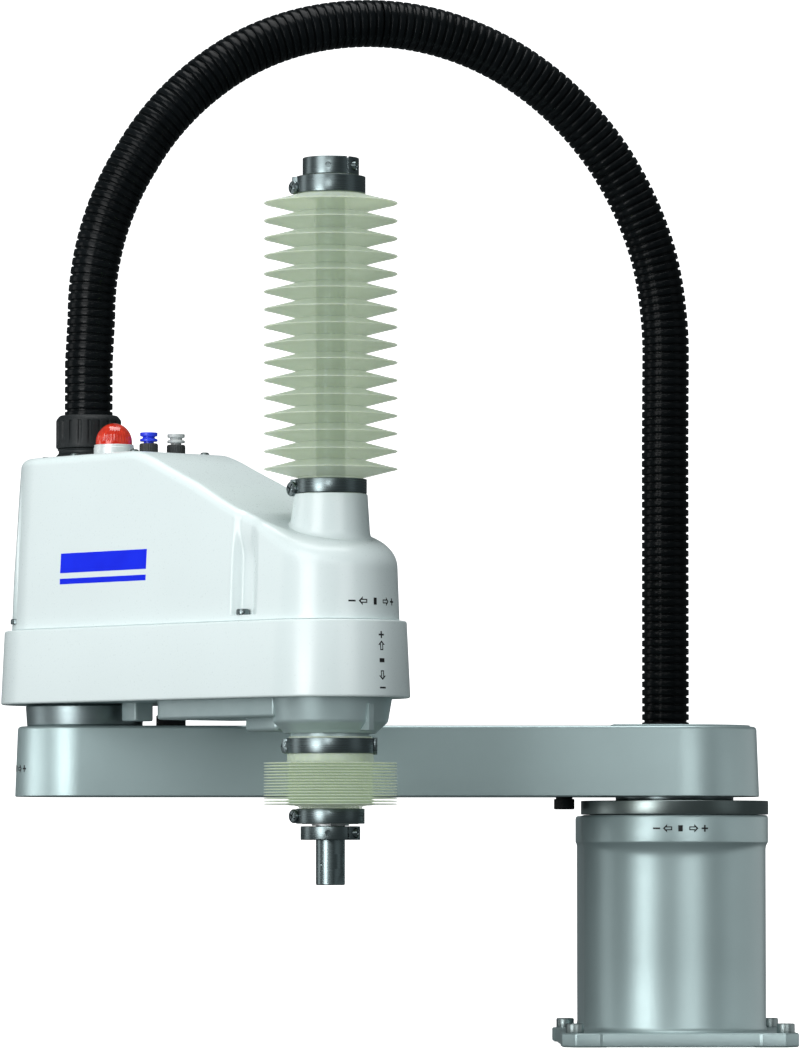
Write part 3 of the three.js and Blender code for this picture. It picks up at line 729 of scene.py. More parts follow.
lathe("j2_drum_body", fillet([(0, 228.6), (41.2, 228.6), (41.6, 229.6, 0.5), (42.5, 242.6, 0.5), (41.6, 243.7), (0, 243.7)], 4), m_drum.m, "arm_1", centre=(-A1, 0), seg=140,
      slot="dark_steel", replaces=("j2_drum",))
V, F = poly_prism(box_round(-373.5, -352.5, -13, 13, 2.0), 228.6, 236.5, 0.8, 3)
make("j2_stopper_pad", V, F, m_nut.m, "arm_1", slot="black_plastic", replaces=("j2_stopper_block",))

# ------------------------------------------------------------------ second link: grey casting below
hull_floor = hull_loft("arm_2_floor", 0, 55.0, A2, 50.0, fillet([(-30, 244.3), (0, 244.3, 0.6), (-0.3, 254, 0.6), (-30, 254)], 3), m_under.m, None, local=True, n=48, straight=16)
belly = round_poly([(126, -38, 9), (261, -40, 2.5), (266, -20, 3), (266, 20, 3), (261, 40, 2.5), (126, 38, 9)], 6)
Vb, Fb = poly_prism(belly, 231, 247, 2.2, 4)
boss = lathe_data(fillet([(0, 219.8), (31.6, 219.8, 0.8), (33.4, 222.0, 1.5), (39.6, 227.4, 5), (42.4, 243.8, 1), (42.4, 247), (0, 247)], 6), (A2, 0), 128)
spig = lathe_data(fillet([(16.4, 201), (27.5, 201, 0.6), (27.5, 221), (16.4, 221)], 3), (A2, 0), 96, closed=True)
rear_b = round_poly([(206, -21, 7), (252, -30, 4), (252, 30, 4), (206, 21, 7)], 6)
Vr, Fr = poly_prism(rear_b, 221.6, 248.6, 3.0, 5)
lug = round_poly([(52.5, -8.5, 2.5), (69.5, -8.5, 2.5), (69.5, 8.5, 2.5), (52.5, 8.5, 2.5)], 5)
Vl, Fl = poly_prism(lug, 231.4, 249.5, 1.2, 3)
finv, finf = poly_prism([(A2 - 2, -42.9), (A2 + 2, -42.9), (A2 + 1.6, -30), (A2 - 1.6, -30)], 221.5, 240, 0.5, 2)
# the fin stands on the boss at the side seen from the front
ang = math.radians(-90 + 40) - REST
rotf = np.array([[math.cos(ang + math.pi / 2), -math.sin(ang + math.pi / 2)], [math.sin(ang + math.pi / 2), math.cos(ang + math.pi / 2)]])
finv[:, :2] = (finv[:, :2] - np.array([A2, 0])) @ rotf.T + np.array([A2, 0])
cut(hull_floor, [temp(arm2(Vb), Fb), temp(arm2(boss[0]), boss[1]), temp(arm2(Vr), Fr), temp(arm2(Vl), Fl), temp(arm2(finv), finf)], "UNION", sharp=30)
hv, hf = poly_prism(circle(A2, 0, 16.4, 64), 190, 262)
jv, jf = poly_prism(circle(0, 0, 34.6, 64), 240, 262)
cut(hull_floor, [temp(arm2(hv), hf), temp(arm2(jv), jf)], sharp=30)
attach(hull_floor, "arm_2"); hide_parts("arm_2_casting")
make("arm_2_spigot", arm2(spig[0]), spig[1], m_under.m, "arm_2", slot="casting_paint")

# ------------------------------------------------------------------ second link: white covers
prof = fillet([(-4.0, 250), (-3.9, 244.6, 0.4), (-3.4, 244.0, 0.4), (0, 244.0, 2.2), (-2.55, 297, 1.6), (-9.5, 297, 0), (-9.5, 293.5), (-6.1, 293.5)], 6)
hull_loft("arm_2_lower_cover_shell", 0, 60.4, A2, 55.0, prof, m_white.m, "arm_2", local=True, closed=True, n=64, straight=24, slot="white_cover",
          replaces=("arm_2_lower_cover",))

HX = np.array([-80, 60, 104, 112, 118, 124, 130, 140, 150, 160, 170, 180, 204, 228, 250, 275, 300, 340.0])
HZ = np.array([421, 421, 421, 420.4, 418.9, 416.9, 414.8, 410.6, 406.6, 402.7, 398.9, 394.9, 383.6, 373.6, 366.0, 357.5, 352.0, 349.0])
_xs = np.linspace(-80, 340, 1681)
_hz = np.interp(_xs, HX, HZ)
_k = np.hanning(49); _k /= _k.sum()
_hs = np.convolve(np.pad(_hz, 24, mode="edge"), _k, "valid")


def top_z(x):
    return np.interp(x, _xs, _hs)


INS_Z = np.array([290, 297, 335, 365, 395, 413, 421.0])
INS = np.array([-0.2, 0, 1.4, 3.3, 5.0, 6.3, 6.9])
H = hull(0, 52.7, A2, 47.5, 64, 290)


def corner_radius(x):
    k = np.clip((x - 238) / 60.0, 0, 1) ** 2 * (3 - 2 * np.clip((x - 238) / 60.0, 0, 1))
    return 7.0 + 11.0 * k


RF = corner_radius(H[:, 0] + H[:, 4] * H[:, 2])
# wide rounded groove down each side, over the front cover screw
GX, GY = 235.0, 45.2
_u = (H[:, 0] + H[:, 4] * H[:, 2]) - GX
_u = np.where(np.abs(H[:, 3]) > 0.5, _u, 99.0)
_t = np.clip((np.abs(_u) - 4.6) / np.where(_u < 0, 6.5, 14.0), 0, 1)
GROOVE = 7.0 * (1 - _t * _t * (3 - 2 * _t))


def ring_at(rho, z):
    return np.stack([H[:, 0] + rho * H[:, 2], rho * H[:, 3], z], -1)


def rho_wall(z):
    return H[:, 4] - np.interp(z, INS_Z, INS)


def wall(z, g=1.0):
    z = np.full(len(H), z) if np.isscalar(z) else z
    up = np.clip((z - (z_top_edge - 26)) / 24.0, 0, 1)
    return rho_wall(z) - GROOVE * g * (1 - 0.62 * up * up * (3 - 2 * up))


z_top_edge = top_z(H[:, 0] + (H[:, 4] - 8) * H[:, 2]) - RF
rows = [ring_at(wall(297.3, 0) - 3.0, np.full(len(H), 297.3)), ring_at(wall(297.3, 0) - 0.5, np.full(len(H), 297.3)),
        ring_at(wall(297.8, 0), np.full(len(H), 297.8)), ring_at(wall(301.3, 0), np.full(len(H), 301.3)),
        ring_at(wall(301.6, 1.0), np.full(len(H), 301.6)), ring_at(wall(303.0, 1.0), np.full(len(H), 303.0))]
ze = top_z(H[:, 0] + (H[:, 4] - 8) * H[:, 2])
z_start = ze - RF
for k in range(1, 13):
    z = 303.0 + (z_start - 303.0) * k / 12
    rows.append(ring_at(wall(z), z))
r0_ = wall(z_start)
for k in range(1, 15):
    t = math.pi / 2 * k / 14
    rho = r0_ - RF * (1 - math.cos(t))
    x = H[:, 0] + rho * H[:, 2]
    rows.append(ring_at(rho, top_z(x) - RF * (1 - math.sin(t))))
r1_ = r0_ - RF
for k in range(1, 21):
    rho = r1_ * (1 - k / 20)
    x = H[:, 0] + rho * H[:, 2]
    rows.append(ring_at(rho, top_z(x)))
V = np.concatenate(rows)
m = len(H)
F = [(i * m + j, i * m + (j + 1) % m, (i + 1) * m + (j + 1) % m, (i + 1) * m + j) for i in range(len(rows) - 1) for j in range(m)]
F.append(tuple(range(m))[::-1])
cover = make("arm_2_upper_cover_shell", arm2(V), F, m_white.m, None)
chan = []
for x, y in ((-20, -47.4), (-20, 47.4)):
    cd_ = lathe_data([(0, 301.5), (4.8, 301.5), (4.8, 430), (0, 430)], (x, y), 40)
    chan.append(temp(arm2(cd_[0]), cd_[1]))


def cover_z(x, y):
    """Height of the finished cover at a point near the spindle, the rim's rounding included."""
    d = np.where(x > A2, np.hypot(x - A2, y), np.abs(y))
    rl = 52.7 + (47.5 - 52.7) * np.clip(x / A2, 0, 1)
    rf = corner_radius(np.where(x > A2, A2 + (x - A2) * rl / np.maximum(d, 1e-6), x))
    w = rl - 2.9
    q = np.clip((d - (w - rf)) / rf, 0, 0.98)
    return top_z(x) - rf * (1 - np.sqrt(1 - q * q))


def plate_outline(g):
    p = []
    for i in range(41):
        t = math.pi / 2 + math.pi * i / 40
        p.append(((39.2 + g) * math.cos(t), (39.2 + g) * math.sin(t) * 0.975))
    a = round_poly([(40, -37.8 - g, 0), (98, -36.5 - g, 0), (105 + g, -29, 5), (105 + g, 29, 5), (98, 36.5 + g, 0), (40, 37.8 + g, 0)], 5)
    return p + [(97, -36.6 - g)] + [(101.5 + g, -34.6 - g), (104.3 + g, -31), (105 + g, -27), (105 + g, 27), (104.3 + g, 31), (101.5 + g, 34.6 + g)] + [(97, 36.6 + g)]


Vp, Fp = poly_prism(plate_outline(0.35), 419.3, 426)
bw = poly_prism(circle(-29.5, 9, 5.6, 32), 412, 424)
sb = poly_prism(circle(A2, 0, 21.8, 96), 288, 380)
cut(cover, chan + [temp(arm2(Vp), Fp), temp(arm2(bw[0]), bw[1]), temp(arm2(sb[0]), sb[1])], sharp=34)
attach(cover, "arm_2"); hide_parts("arm_2_upper_cover")

# neck with a filleted foot that follows the sloping top
seg = 144
th = np.linspace(0, 2 * math.pi, seg, endpoint=False)
rows = []
for r, k in ((30.8, -1.6), (30.0, -0.4), (29.2, 0.2), (28.5, 0.9), (27.9, 1.8), (27.5, 3.1), (27.2, 4.8), (27.0, 7.0)):
    rows.append(np.stack([A2 + r * np.cos(th), r * np.sin(th), cover_z(A2 + r * np.cos(th), r * np.sin(th)) + k], -1))
foot_top = rows[-1][:, 2]
for k in range(1, 9):
    s = k / 8
    z = foot_top + (383.0 - foot_top) * s
    r = np.interp(z, [345, 365, 383.0], [27.3, 26.6, 25.6])
    r = r + (26.95 - r) * (1 - s) ** 3
    rows.append(np.stack([A2 + r * np.cos(th), r * np.sin(th), z], -1))
for r, z in ((25.45, 384.0), (25.1, 384.4), (24.3, 384.5), (21.2, 384.5), (21.2, 372), (21.2, 343)):
    rows.append(np.stack([A2 + r * np.cos(th), r * np.sin(th), np.full(seg, z)], -1))
V = np.concatenate(rows)
nr = len(rows)
F = [(i * seg + j, i * seg + (j + 1) % seg, (i + 1) % nr * seg + (j + 1) % seg, (i + 1) % nr * seg + j) for i in range(nr) for j in range(seg)]
make("arm_2_neck", arm2(V), F, m_white.m, "arm_2", slot="white_cover")

for i, (x, y) in enumerate(((GX, -GY), (GX, GY), (-20, -46.5), (-20, 46.5))):
    lathe(f"cover_screw_{i + 1}_head", [(0, 301.6), (4.4, 301.6), (4.5, 302.0), (4.5, 304.6), (4.2, 305.2), (3.6, 305.5), (2.2, 305.5), (2.0, 303.4), (0, 303.4)], m_dark.m, "arm_2",
          centre=(x, y), seg=48, local=True, slot="bright_steel", replaces=(f"cover_screw_{i + 1}",))

V, F = poly_prism(plate_outline(0.0), 419.4, 421.0, 0.4, 3)
plate_ob = make("top_plate_sheet", arm2(V), F, m_white.m, None)
bh = poly_prism(circle(-29.5, 9, 5.1, 32), 415, 425)
cut(plate_ob, [temp(arm2(bh[0]), bh[1])])
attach(plate_ob, "arm_2"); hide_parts("top_plate")
parts = []
for x, y in ((-18.3, -22.1), (-25, 20), (98, 31.5), (95, -30), (30, -33)):
    parts.append((lambda d: (arm2(d[0]), d[1]))(lathe_data([(0, 421.0), (3.4, 421.0), (3.4, 421.4), (3.0, 422.3), (2.1, 422.9), (1.5, 423.0), (1.3, 422.0), (0, 422.0)], (x, y), 32)))
make("top_plate_screws", *join_data(*parts), m_bolt.m, "arm_2", slot="bright_steel")

lathe("brake_button_cap", fillet([(0, 419.5), (4.6, 419.5), (4.6, 424.6, 0.9), (3.0, 424.6, 0.4), (0, 424.2)], 4), m_nut.m, "brake_button", centre=(-29.5, 9), seg=48, local=True,
      slot="black_plastic", replaces=("brake_release_button",))
V, F = poly_prism(round_poly([(-24.5, 25, 2), (14.5, 25, 2), (14.5, 37, 2), (-24.5, 37, 2)], 5), 421.0, 422.6, 0.4, 2)
V2, F2 = poly_prism(round_poly([(-18.5, 26.8, 2.6), (8.5, 26.8, 2.6), (7.0, 35.2, 2.6), (-17.0, 35.2, 2.6)], 5), 422.4, 427.2, 0.5, 2)
make("d_sub_connector_shell", *join_data((arm2(V), F), (arm2(V2), F2)), m_disc.m, "arm_2", slot="bright_steel", replaces=("d_sub_connector",))
parts = []
for r_, yy in ((8, 29.4), (7, 32.6)):
    for k in range(r_):
        xx = -5 + (k - (r_ - 1) / 2) * 2.8
        parts.append((lambda d: (arm2(d[0]), d[1]))(lathe_data([(0, 427.0), (0.8, 427.0), (0.8, 427.5), (0.4, 427.6), (0, 427.6)], (xx, yy), 12)))
make("d_sub_sockets", *join_data(*parts), m_hole.m, "arm_2", slot="black_plastic")

# gland beside the second joint's axis
GL = (2.2 * CA, 2.2 * -SA)
lathe("hose_gland_base_ring", fillet([(12.5, 421.05), (23.4, 421.05, 0.4), (23.4, 423.4, 1.2), (21.6, 425.4, 0.8), (21.6, 427.2, 0.6), (23.2, 428.3, 0.4), (12.5, 428.3)], 4), m_nut.m, "arm_2",
      seg=120, closed=True, local=True, slot="black_plastic", replaces=("hose_gland_base",), centre=GL)
lathe("hose_gland_nut_body", gl(428.6, 452.7), m_nut.m, "arm_2", centre=GL, seg=288, closed=True, local=True, wave=fluted(20, 0.9, 432, 449.2), slot="black_plastic", replaces=("hose_gland_nut",))

# lamp
lathe("lamp_base_ring", fillet([(0, 421.05), (14.4, 421.05, 0.5), (14.4, 426.8, 0.3), (14.1, 427.0, 0.2), (14.1, 428.8, 0.5), (12.9, 428.9), (0, 428.9)], 4), m_lampbase.m, "arm_2",
      centre=(49.4, -12.7), seg=96, local=True, slot="bright_steel", replaces=("lamp_base",))
lens_prof = [(0, 428.9), (13.0, 428.9), (13.0, 430.6)] + [(13.0 * math.cos(t), 430.6 + 13.8 * math.sin(t)) for t in np.linspace(0.08, math.pi / 2 - 0.02, 22)] + [(0, 444.4)]


def ribs(R_, Z_, th):
    k = np.clip((Z_ - 430.6) / 1.0, 0, 1) * np.clip((439.5 - Z_) / 2.0, 0, 1)
    return R_ * (1 - 0.022 * k * (0.5 + 0.5 * np.cos(36 * th)))


lathe("lamp_lens_dome", lens_prof, m_lens.m, "arm_2", centre=(49.4, -12.7), seg=288, local=True, wave=ribs, slot="lamp_red", replaces=("lamp_lens",))
d1 = lathe_data([(0, 427.9), (9.0, 427.9), (9.0, 432.0), (7.5, 436.0), (4.5, 438.6), (0, 439.4)], (50, -12), 24)

# push-in air fittings
for nm, x, y, top, mat, sl in (("blue", 62, 9, 438.0, m_blue, "blue_plastic"), ("white", 62, 34, 438.0, m_grey, "grey_plastic")):
    lathe(f"air_fitting_{nm}_collar", fillet([(4.2, 421.05), (6.6, 421.05, 0.3), (6.6, 429.2, 0.4), (6.0, 430.2, 0.4), (4.2, 430.2)], 3), m_fitblack.m, "arm_2", centre=(x, y), seg=144, closed=True, local=True,
          wave=lambda R_, Z_, th: R_ + 0.14 * np.cos(24 * th) * (R_ > 6.3), slot="black_plastic", replaces=(f"air_fitting_{nm}_body",))
    lathe(f"air_fitting_{nm}_release", fillet([(2.6, 424.0), (3.7, 424.0), (3.7, 431.5), (6.3, 431.6, 0.3), (6.4, 433.3, 0.8), (4.6, 433.8, 0.5), (4.1, 435.0, 0.8), (6.2, 435.4, 0.5), (6.3, top, 0.6), (2.6, top)], 4),
          mat.m, nm + "_release_ring", centre=(x, y), seg=72, closed=True, local=True, slot=sl, replaces=(f"air_fitting_{nm}_ring",))

# ------------------------------------------------------------------ spindle
S = (SX, SY)
shaft = lathe("spindle_shaft_tube", [(7.0, 115.7), (9.4, 115.7), (10.0, 116.3), (10.0, 146.0), (10.0, 300), (10.0, 500), (10.0, 616.1), (9.6, 616.6), (7.0, 616.6), (7.0, 400)], m_shaft.m, None, centre=S, seg=96, closed=True)
flat = []
a = math.radians(-90 + 38)
fx, fy = math.cos(a), math.sin(a)


def local_box(cx, cy, ang, x0, x1, y0, y1, z0, z1):
    V_, F_ = poly_prism([(x0, y0), (x1, y0), (x1, y1), (x0, y1)], z0, z1)
    c, s = math.cos(ang), math.sin(ang)
    W = V_.copy()
    W[:, 0] = cx + V_[:, 0] * c - V_[:, 1] * s
    W[:, 1] = cy + V_[:, 0] * s + V_[:, 1] * c
    return W, F_


flat.append(temp(*local_box(SX, SY, a, 9.2, 12, -7, 7, 110, 127)))
flat.append(temp(*local_box(SX, SY, a, 9.2, 12, -7, 7, 137, 146.5)))
v_, f_2 = turned_rod([(0, 0), (1.5, 0), (1.5, 0.01), (0, 1.6)], (SX - 10.4 * math.cos(math.radians(50)), SY - 10.4 * math.sin(math.radians(50)), 129.8),
                     (math.cos(math.radians(50)), math.sin(math.radians(50)), 0), 24)
flat.append(temp(v_, f_2))
cut(shaft, flat, sharp=30)
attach(shaft, "spindle"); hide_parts("spindle_shaft")


def collar(name, r, z0, z1, node):
    ob = lathe(name, fillet([(10.5, z0), (r, z0, 0.6), (r, z1, 0.6), (10.5, z1)], 4), m_dark.m, None, centre=S, seg=120, closed=True)
    zc = (z0 + z1) / 2
    slit_x = SX + 0.59 * r
    c = [temp(*poly_prism([(slit_x - 0.55, SY - r - 2), (slit_x + 0.55, SY - r - 2), (slit_x + 0.55, SY - 6), (slit_x - 0.55, SY - 6)], z0 - 1, z1 + 1)),
         temp(*turned_rod([(0, 0), (1.9, 0), (1.9, 8), (0, 8)], (SX - 2, SY - r - 1, zc), (0, 1, 0), 32)),
         temp(*turned_rod([(0, 0), (3.6, 0), (3.6, 7.5), (0, 7.5)], (SX + r + 2.0, SY - 10.5, zc), (-1, 0, 0), 32))]
    cut(ob, c, sharp=30)
    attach(ob, "spindle"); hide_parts(node)
    make(name + "_screw", *turned_rod([(0, 0), (3.0, 0), (3.0, 3.2), (2.7, 3.6), (1.6, 3.6), (1.5, 2.0), (0, 2.0)], (SX + r - 5.9, SY - 10.5, zc), (1, 0, 0), 32), m_dark.m, "spindle", slot="bright_steel")
    make(name + "_set_screw", *turned_rod([(0, 0), (1.7, 0), (1.7, 1.2), (0.9, 1.2), (0.8, 0.4), (0, 0.4)], (SX - 2, SY - r + 3.2, zc), (0, -1, 0), 24), m_dark.m, "spindle", slot="dark_steel")


collar("upper_shaft_collar_ring", 19.5, 604.6, 616.9, "upper_shaft_collar")
collar("lower_shaft_collar_ring", 20.5, 146.7, 156.1, "lower_shaft_collar")


def clamp(name, ri, ro, z0, z1, screw_r, node, body, tab=False):
    ring_ = lathe_data(fillet([(ri, z0), (ro, z0, 0.35), (ro, z1, 0.35), (ri, z1)], 3), S, 128, closed=True)
    zc = (z0 + z1) / 2
    x = SX - ro - 1.4
    parts_ = [ring_]
    lug_ = poly_prism(round_poly([(x - 1.4, SY - 4.6, 0.6), (SX - ri + 1.6, SY - 7.4, 0.6), (SX - ri + 1.6, SY + 7.4, 0.6), (x - 1.4, SY + 4.6, 0.6)], 3), z0 + 0.4, z1 - 0.4, 0.4, 2)
    ob = make(name, *join_data(*parts_), m_dark.m, body, slot="dark_steel", replaces=(node,))
    make(name + "_lug", *lug_, m_dark.m, body, slot="dark_steel")
    zs_ = zc + (0.8 if tab else (-1.9 if z0 > 300 else 0)) * (-1 if tab else 1)
    ax = np.array([-0.80, -0.60, 0.0])
    p0 = np.array([x + 1.2 + (1.4 if tab else 0), SY - 3.0, zs_])
    head = turned_rod([(0, 0), (screw_r, 0), (screw_r, 2.4), (screw_r - 0.5, 3.1), (screw_r * 0.55, 3.5), (0, 3.6)], p0, ax, 48)
    hob = make(name + "_screw", *head, m_dark.m, None)
    u_ = np.array([ax[1], -ax[0], 0.0])
    cr = []
    for an in (0.5, 0.5 + math.pi / 2):
        d_ = u_ * math.cos(an) + np.array([0, 0, 1.0]) * math.sin(an)
        e_ = -u_ * math.sin(an) + np.array([0, 0, 1.0]) * math.cos(an)
        q_ = [p0 + ax * h_ + d_ * i_ * screw_r * 0.72 + e_ * j_ * 0.55 for h_ in (2.3, 5.0) for i_, j_ in ((-1, -1), (1, -1), (1, 1), (-1, 1))]
        cr.append(temp(np.array(q_), [(0, 3, 2, 1), (4, 5, 6, 7), (0, 1, 5, 4), (1, 2, 6, 5), (2, 3, 7, 6), (3, 0, 4, 7)]))
    cut(hob, cr, sharp=30)
    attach(hob, body)
    if tab:
        t_ = poly_prism(round_poly([(SX + ro - 1.2, SY - 5.2, 0.5), (SX + ro + 1.6, SY - 5.2, 0.5), (SX + ro + 1.6, SY + 5.2, 0.5), (SX + ro - 1.2, SY + 5.2, 0.5)], 3), z0 - 0.6, z1 + 0.6, 0.4, 2)
        make(name + "_tab", *t_, m_dark.m, body, slot="dark_steel")


clamp("upper_bellows_top_band", 21.95, 24.0, 592.2, 603.9, 4.7, "upper_bellows_top_clamp", "z_carriage")
clamp("upper_bellows_bottom_band", 21.95, 25.0, 384.9, 394.8, 5.2, "upper_bellows_bottom_clamp", "arm_2")
clamp("lower_bellows_top_band", 29.0, 30.5, 205.9, 216.4, 4.6, "lower_bellows_top_clamp", "arm_2", tab=True)
clamp("lower_bellows_bottom_band", 22.0, 23.5, 157.8, 168.2, 4.7, "lower_bellows_bottom_clamp", "z_carriage")

# ------------------------------------------------------------------ bellows
PITCH, N = 12.26, 16
crest0 = 401.8


def convolution(zc, pitch, rc, rv, lip, n=9):
    """Outer film from valley to valley round a thin crest, straight flanks."""
    out = []
    for k in range(n):
        s = k / (n - 1)
        r = rv + (rc - 1.6 - rv) * s
        z = zc - lip - (pitch / 2 - lip) * (1 - s) ** 1.0
        out.append((r, z))
    out += [(rc - 0.5, zc - lip * 0.8), (rc, zc - lip * 0.35), (rc, zc + lip * 0.35), (rc - 0.5, zc + lip * 0.8)]
    for k in range(n):
        s = 1 - k / (n - 1)
        r = rv + (rc - 1.6 - rv) * s
        z = zc + lip + (pitch / 2 - lip) * (1 - s) ** 1.0
        out.append((r, z))
    return out


film = []
for i in range(N):
    film += convolution(crest0 + i * PITCH, PITCH, CREST := 46.2, 23.3, 0.6)[(1 if i else 0):]
film = [(21.8, 396.0), (22.4, 395.9)] + [p for p in film if p[1] > 396.0] + [(22.2, 591.2)]
inner_film = [(max(20.4, r - 0.9), z) for r, z in film[::-1] if r < 30]
zs = sorted(set([round(z, 3) for _, z in film]))
inner_line = [(20.6, 593.0), (20.6, 396.0)]
# the folds: a closed film ring with an inner wall that follows the outer one 0.7 mm inside
outer_a = np.array(film)


def inside(points, t=0.7):
    p = np.array(points, float)
    d = np.gradient(p, axis=0)
    nrm = np.stack([d[:, 1], -d[:, 0]], -1)
    nrm /= np.maximum(np.linalg.norm(nrm, axis=1), 1e-9)[:, None]
    q = p - nrm * t
    q[:, 0] = np.clip(q[:, 0], 20.5, 45.2)
    q[:, 1] = np.clip(q[:, 1], p[0, 1], p[-1, 1])
    return [tuple(v) for v in q[::-1]]


folds = lathe("upper_bellows_folds", film + inside(film, 0.55), m_bel.m, "arm_2", centre=S, seg=144, closed=True, slot="bellows_film", replaces=("upper_bellows",), sharp=60)
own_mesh(folds)
lathe("upper_bellows_bottom_cuff", fillet([(19.8, 385.0), (21.75, 385.0), (21.75, 394.9), (22.6, 395.3, 0.5), (22.6, 396.2, 0.4), (19.8, 396.2)], 3), m_bel.m, "arm_2", centre=S, seg=120, closed=True, slot="bellows_film")
lathe("upper_bellows_top_cuff", fillet([(19.5, 590.6), (22.3, 590.6, 0.4), (21.75, 592.2), (21.75, 604.2), (19.5, 604.2)], 3), m_bel.m, "z_carriage", centre=S, seg=120, closed=True, slot="bellows_film")

low = []
LP = (200.4 - 170.3) / 15
for i in range(15):
    zc = 170.3 + LP * (i + 0.5)
    low += [(28.0, zc - LP / 2 + 0.05), (31, zc - 0.5), (38, zc - 0.40), (44.8, zc - 0.34), (45.7, zc - 0.25), (46.0, zc), (45.7, zc + 0.25), (44.8, zc + 0.34), (38, zc + 0.40), (31, zc + 0.5)]
low.append((28.0, 200.4))
low_in = [(24.6, 200.4)] + [(24.6, 170.3)]
lowf = lathe("lower_bellows_folds", low + low_in, film_dense, None, centre=S, seg=144, closed=True, sharp=60)
ztop, zbot = 0.2004, 0.1703
me = lowf.data
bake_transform(lowf, "arm_2", "z_carriage", start=(SX * MM, SY * MM, ztop), end=(SX * MM, SY * MM, zbot))
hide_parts("lower_bellows")
att = lowf.data.attributes.get("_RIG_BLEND")
if att is not None:
    z = np.zeros(len(lowf.data.vertices) * 3)
    lowf.data.vertices.foreach_get("co", z)
    w = np.clip((ztop - z[2::3]) / (ztop - zbot), 0, 1)
    att.data.foreach_set("value", w.astype(np.float32))
lathe("lower_bellows_top_cuff", fillet([(27.8, 200.2), (29.8, 200.2, 0.3), (29.8, 205.6, 0.4), (28.7, 206.0), (28.7, 217.6, 0.4), (27.8, 217.6)], 3), m_bel.m, "arm_2", centre=S, seg=120, closed=True, slot="bellows_film")
lathe("lower_bellows_bottom_cuff", fillet([(19.9, 157.9), (21.85, 157.9), (21.85, 169.4), (24.5, 170.1), (25.6, 170.6), (19.9, 170.6)], 3), m_bel.m, "z_carriage", centre=S, seg=120, closed=True, slot="bellows_film")

# ------------------------------------------------------------------ printed marks: plain arrows, plus and minus, and a plain blue bar


def mark_shapes(kind):
    if kind == "minus":
        return [[(-2.6, -0.58), (2.6, -0.58), (2.6, 0.58), (-2.6, 0.58)]]
    if kind == "plus":
        return [[(-2.4, -0.58), (-0.58, -0.58), (-0.58, -2.4), (0.58, -2.4), (0.58, -0.58), (2.4, -0.58), (2.4, 0.58), (0.58, 0.58), (0.58, 2.4), (-0.58, 2.4), (-0.58, 0.58), (-2.4, 0.58)]]
    o = [(0.0, 0.0), (3.0, 3.0), (3.0, 1.35), (6.6, 1.35), (6.6, -1.35), (3.0, -1.35), (3.0, -3.0)]
    o = o[::-1]
    i = [(1.4, 0.0), (2.32, 0.95), (2.32, 0.62), (5.85, 0.62), (5.85, -0.62), (2.32, -0.62), (2.32, -0.95)][::-1]
    quads = []
    for k in range(len(o)):
        n2 = (k + 1) % len(o)
        quads.append([o[k], o[n2], i[n2], i[k]])
    return quads


def marks(name, layout, place, body, mat, sub=8):
    """layout = [(kind, u, v, angle)]; place(u, v) gives a point on the surface and one just under it."""
    V, F = [], []
    for kind, u0, v0, ang in layout:
        c, s = math.cos(ang), math.sin(ang)
        shapes = mark_shapes(kind) if isinstance(kind, str) else [kind]
        for poly in shapes:
            pts = []
            n = len(poly)
            for k in range(n):
                a_, b_ = np.array(poly[k]), np.array(poly[(k + 1) % n])
                steps = max(1, int(np.linalg.norm(b_ - a_) / 1.2))
                pts += [a_ + (b_ - a_) * q / steps for q in range(steps)]
            pts = [(u0 + p[0] * c - p[1] * s, v0 + p[0] * s + p[1] * c) for p in pts]
            base_ = len(V)
            top = [place(u, v, 0.07) for u, v in pts]
            bot = [place(u, v, -0.25) for u, v in pts]
            V += top + bot
            n = len(pts)
            F.append(tuple(range(base_, base_ + n)))
            F.append(tuple(range(base_ + 2 * n - 1, base_ + n - 1, -1)))
            for k in range(n):
                q = (k + 1) % n
                F.append((base_ + k, base_ + n + k, base_ + n + q, base_ + q))
    me_ = bpy.data.meshes.new(name)
    me_.from_pydata([tuple(np.array(p) * MM) for p in V], [], F)
    bm = bmesh.new(); bm.from_mesh(me_)
    bmesh.ops.triangulate(bm, faces=bm.faces)
    bmesh.ops.recalc_face_normals(bm, faces=bm.faces)
    bm.to_mesh(me_); bm.free()
    ob = dress(name, me_, mat.m, body, smooth=False)
    return ob


def on_cylinder(cx, cy, r, a0):
    def f(u, v, lift):
        t = a0 + u / r
        return (cx + (r + lift) * math.cos(t), cy + (r + lift) * math.sin(t), v)
    return f


# base: minus, arrow left, short bar, arrow right, plus
mk = marks("j1_direction_marks", [("minus", -15.8, 155.2, 0), ("arrow", -11.2, 155.2, 0), ("arrow", 14.2, 155.2, math.pi), ("plus", 19, 155.2, 0), ([(-1.6, -2.2), (1.6, -2.2), (1.6, 2.2), (-1.6, 2.2)], 1.3, 155.2, 0)],
           on_cylinder(0, 0, 67.4, -math.pi / 2 - 0.02), "base", m_mark)


def on_cover(x0, y_sign, table_r0, table_r1, inset_z):
    """Side wall of a second-link cover: u runs along the wall from the second joint, v is the height."""
    def f(u, v, lift):
        off = np.interp(v, inset_z[0], inset_z[1])
        fr = math.acos((table_r0 - table_r1) / A2)
        k = u / A2
        r = table_r0 + (table_r1 - table_r0) * k - off + lift
        if 0 <= u <= A2:
            p = (u + r * math.cos(fr), y_sign * r * math.sin(fr), v)
        elif u > A2:
            t = y_sign * (fr - (u - A2) / table_r1)
            p = (A2 + (table_r1 - off + lift) * math.cos(t), (table_r1 - off + lift) * math.sin(t), v)
        else:
            t = y_sign * (fr + (-u) / table_r0)
            p = ((table_r0 - off + lift) * math.cos(t), (table_r0 - off + lift) * math.sin(t), v)
        return tuple(arm2(np.array(p)))
    return f


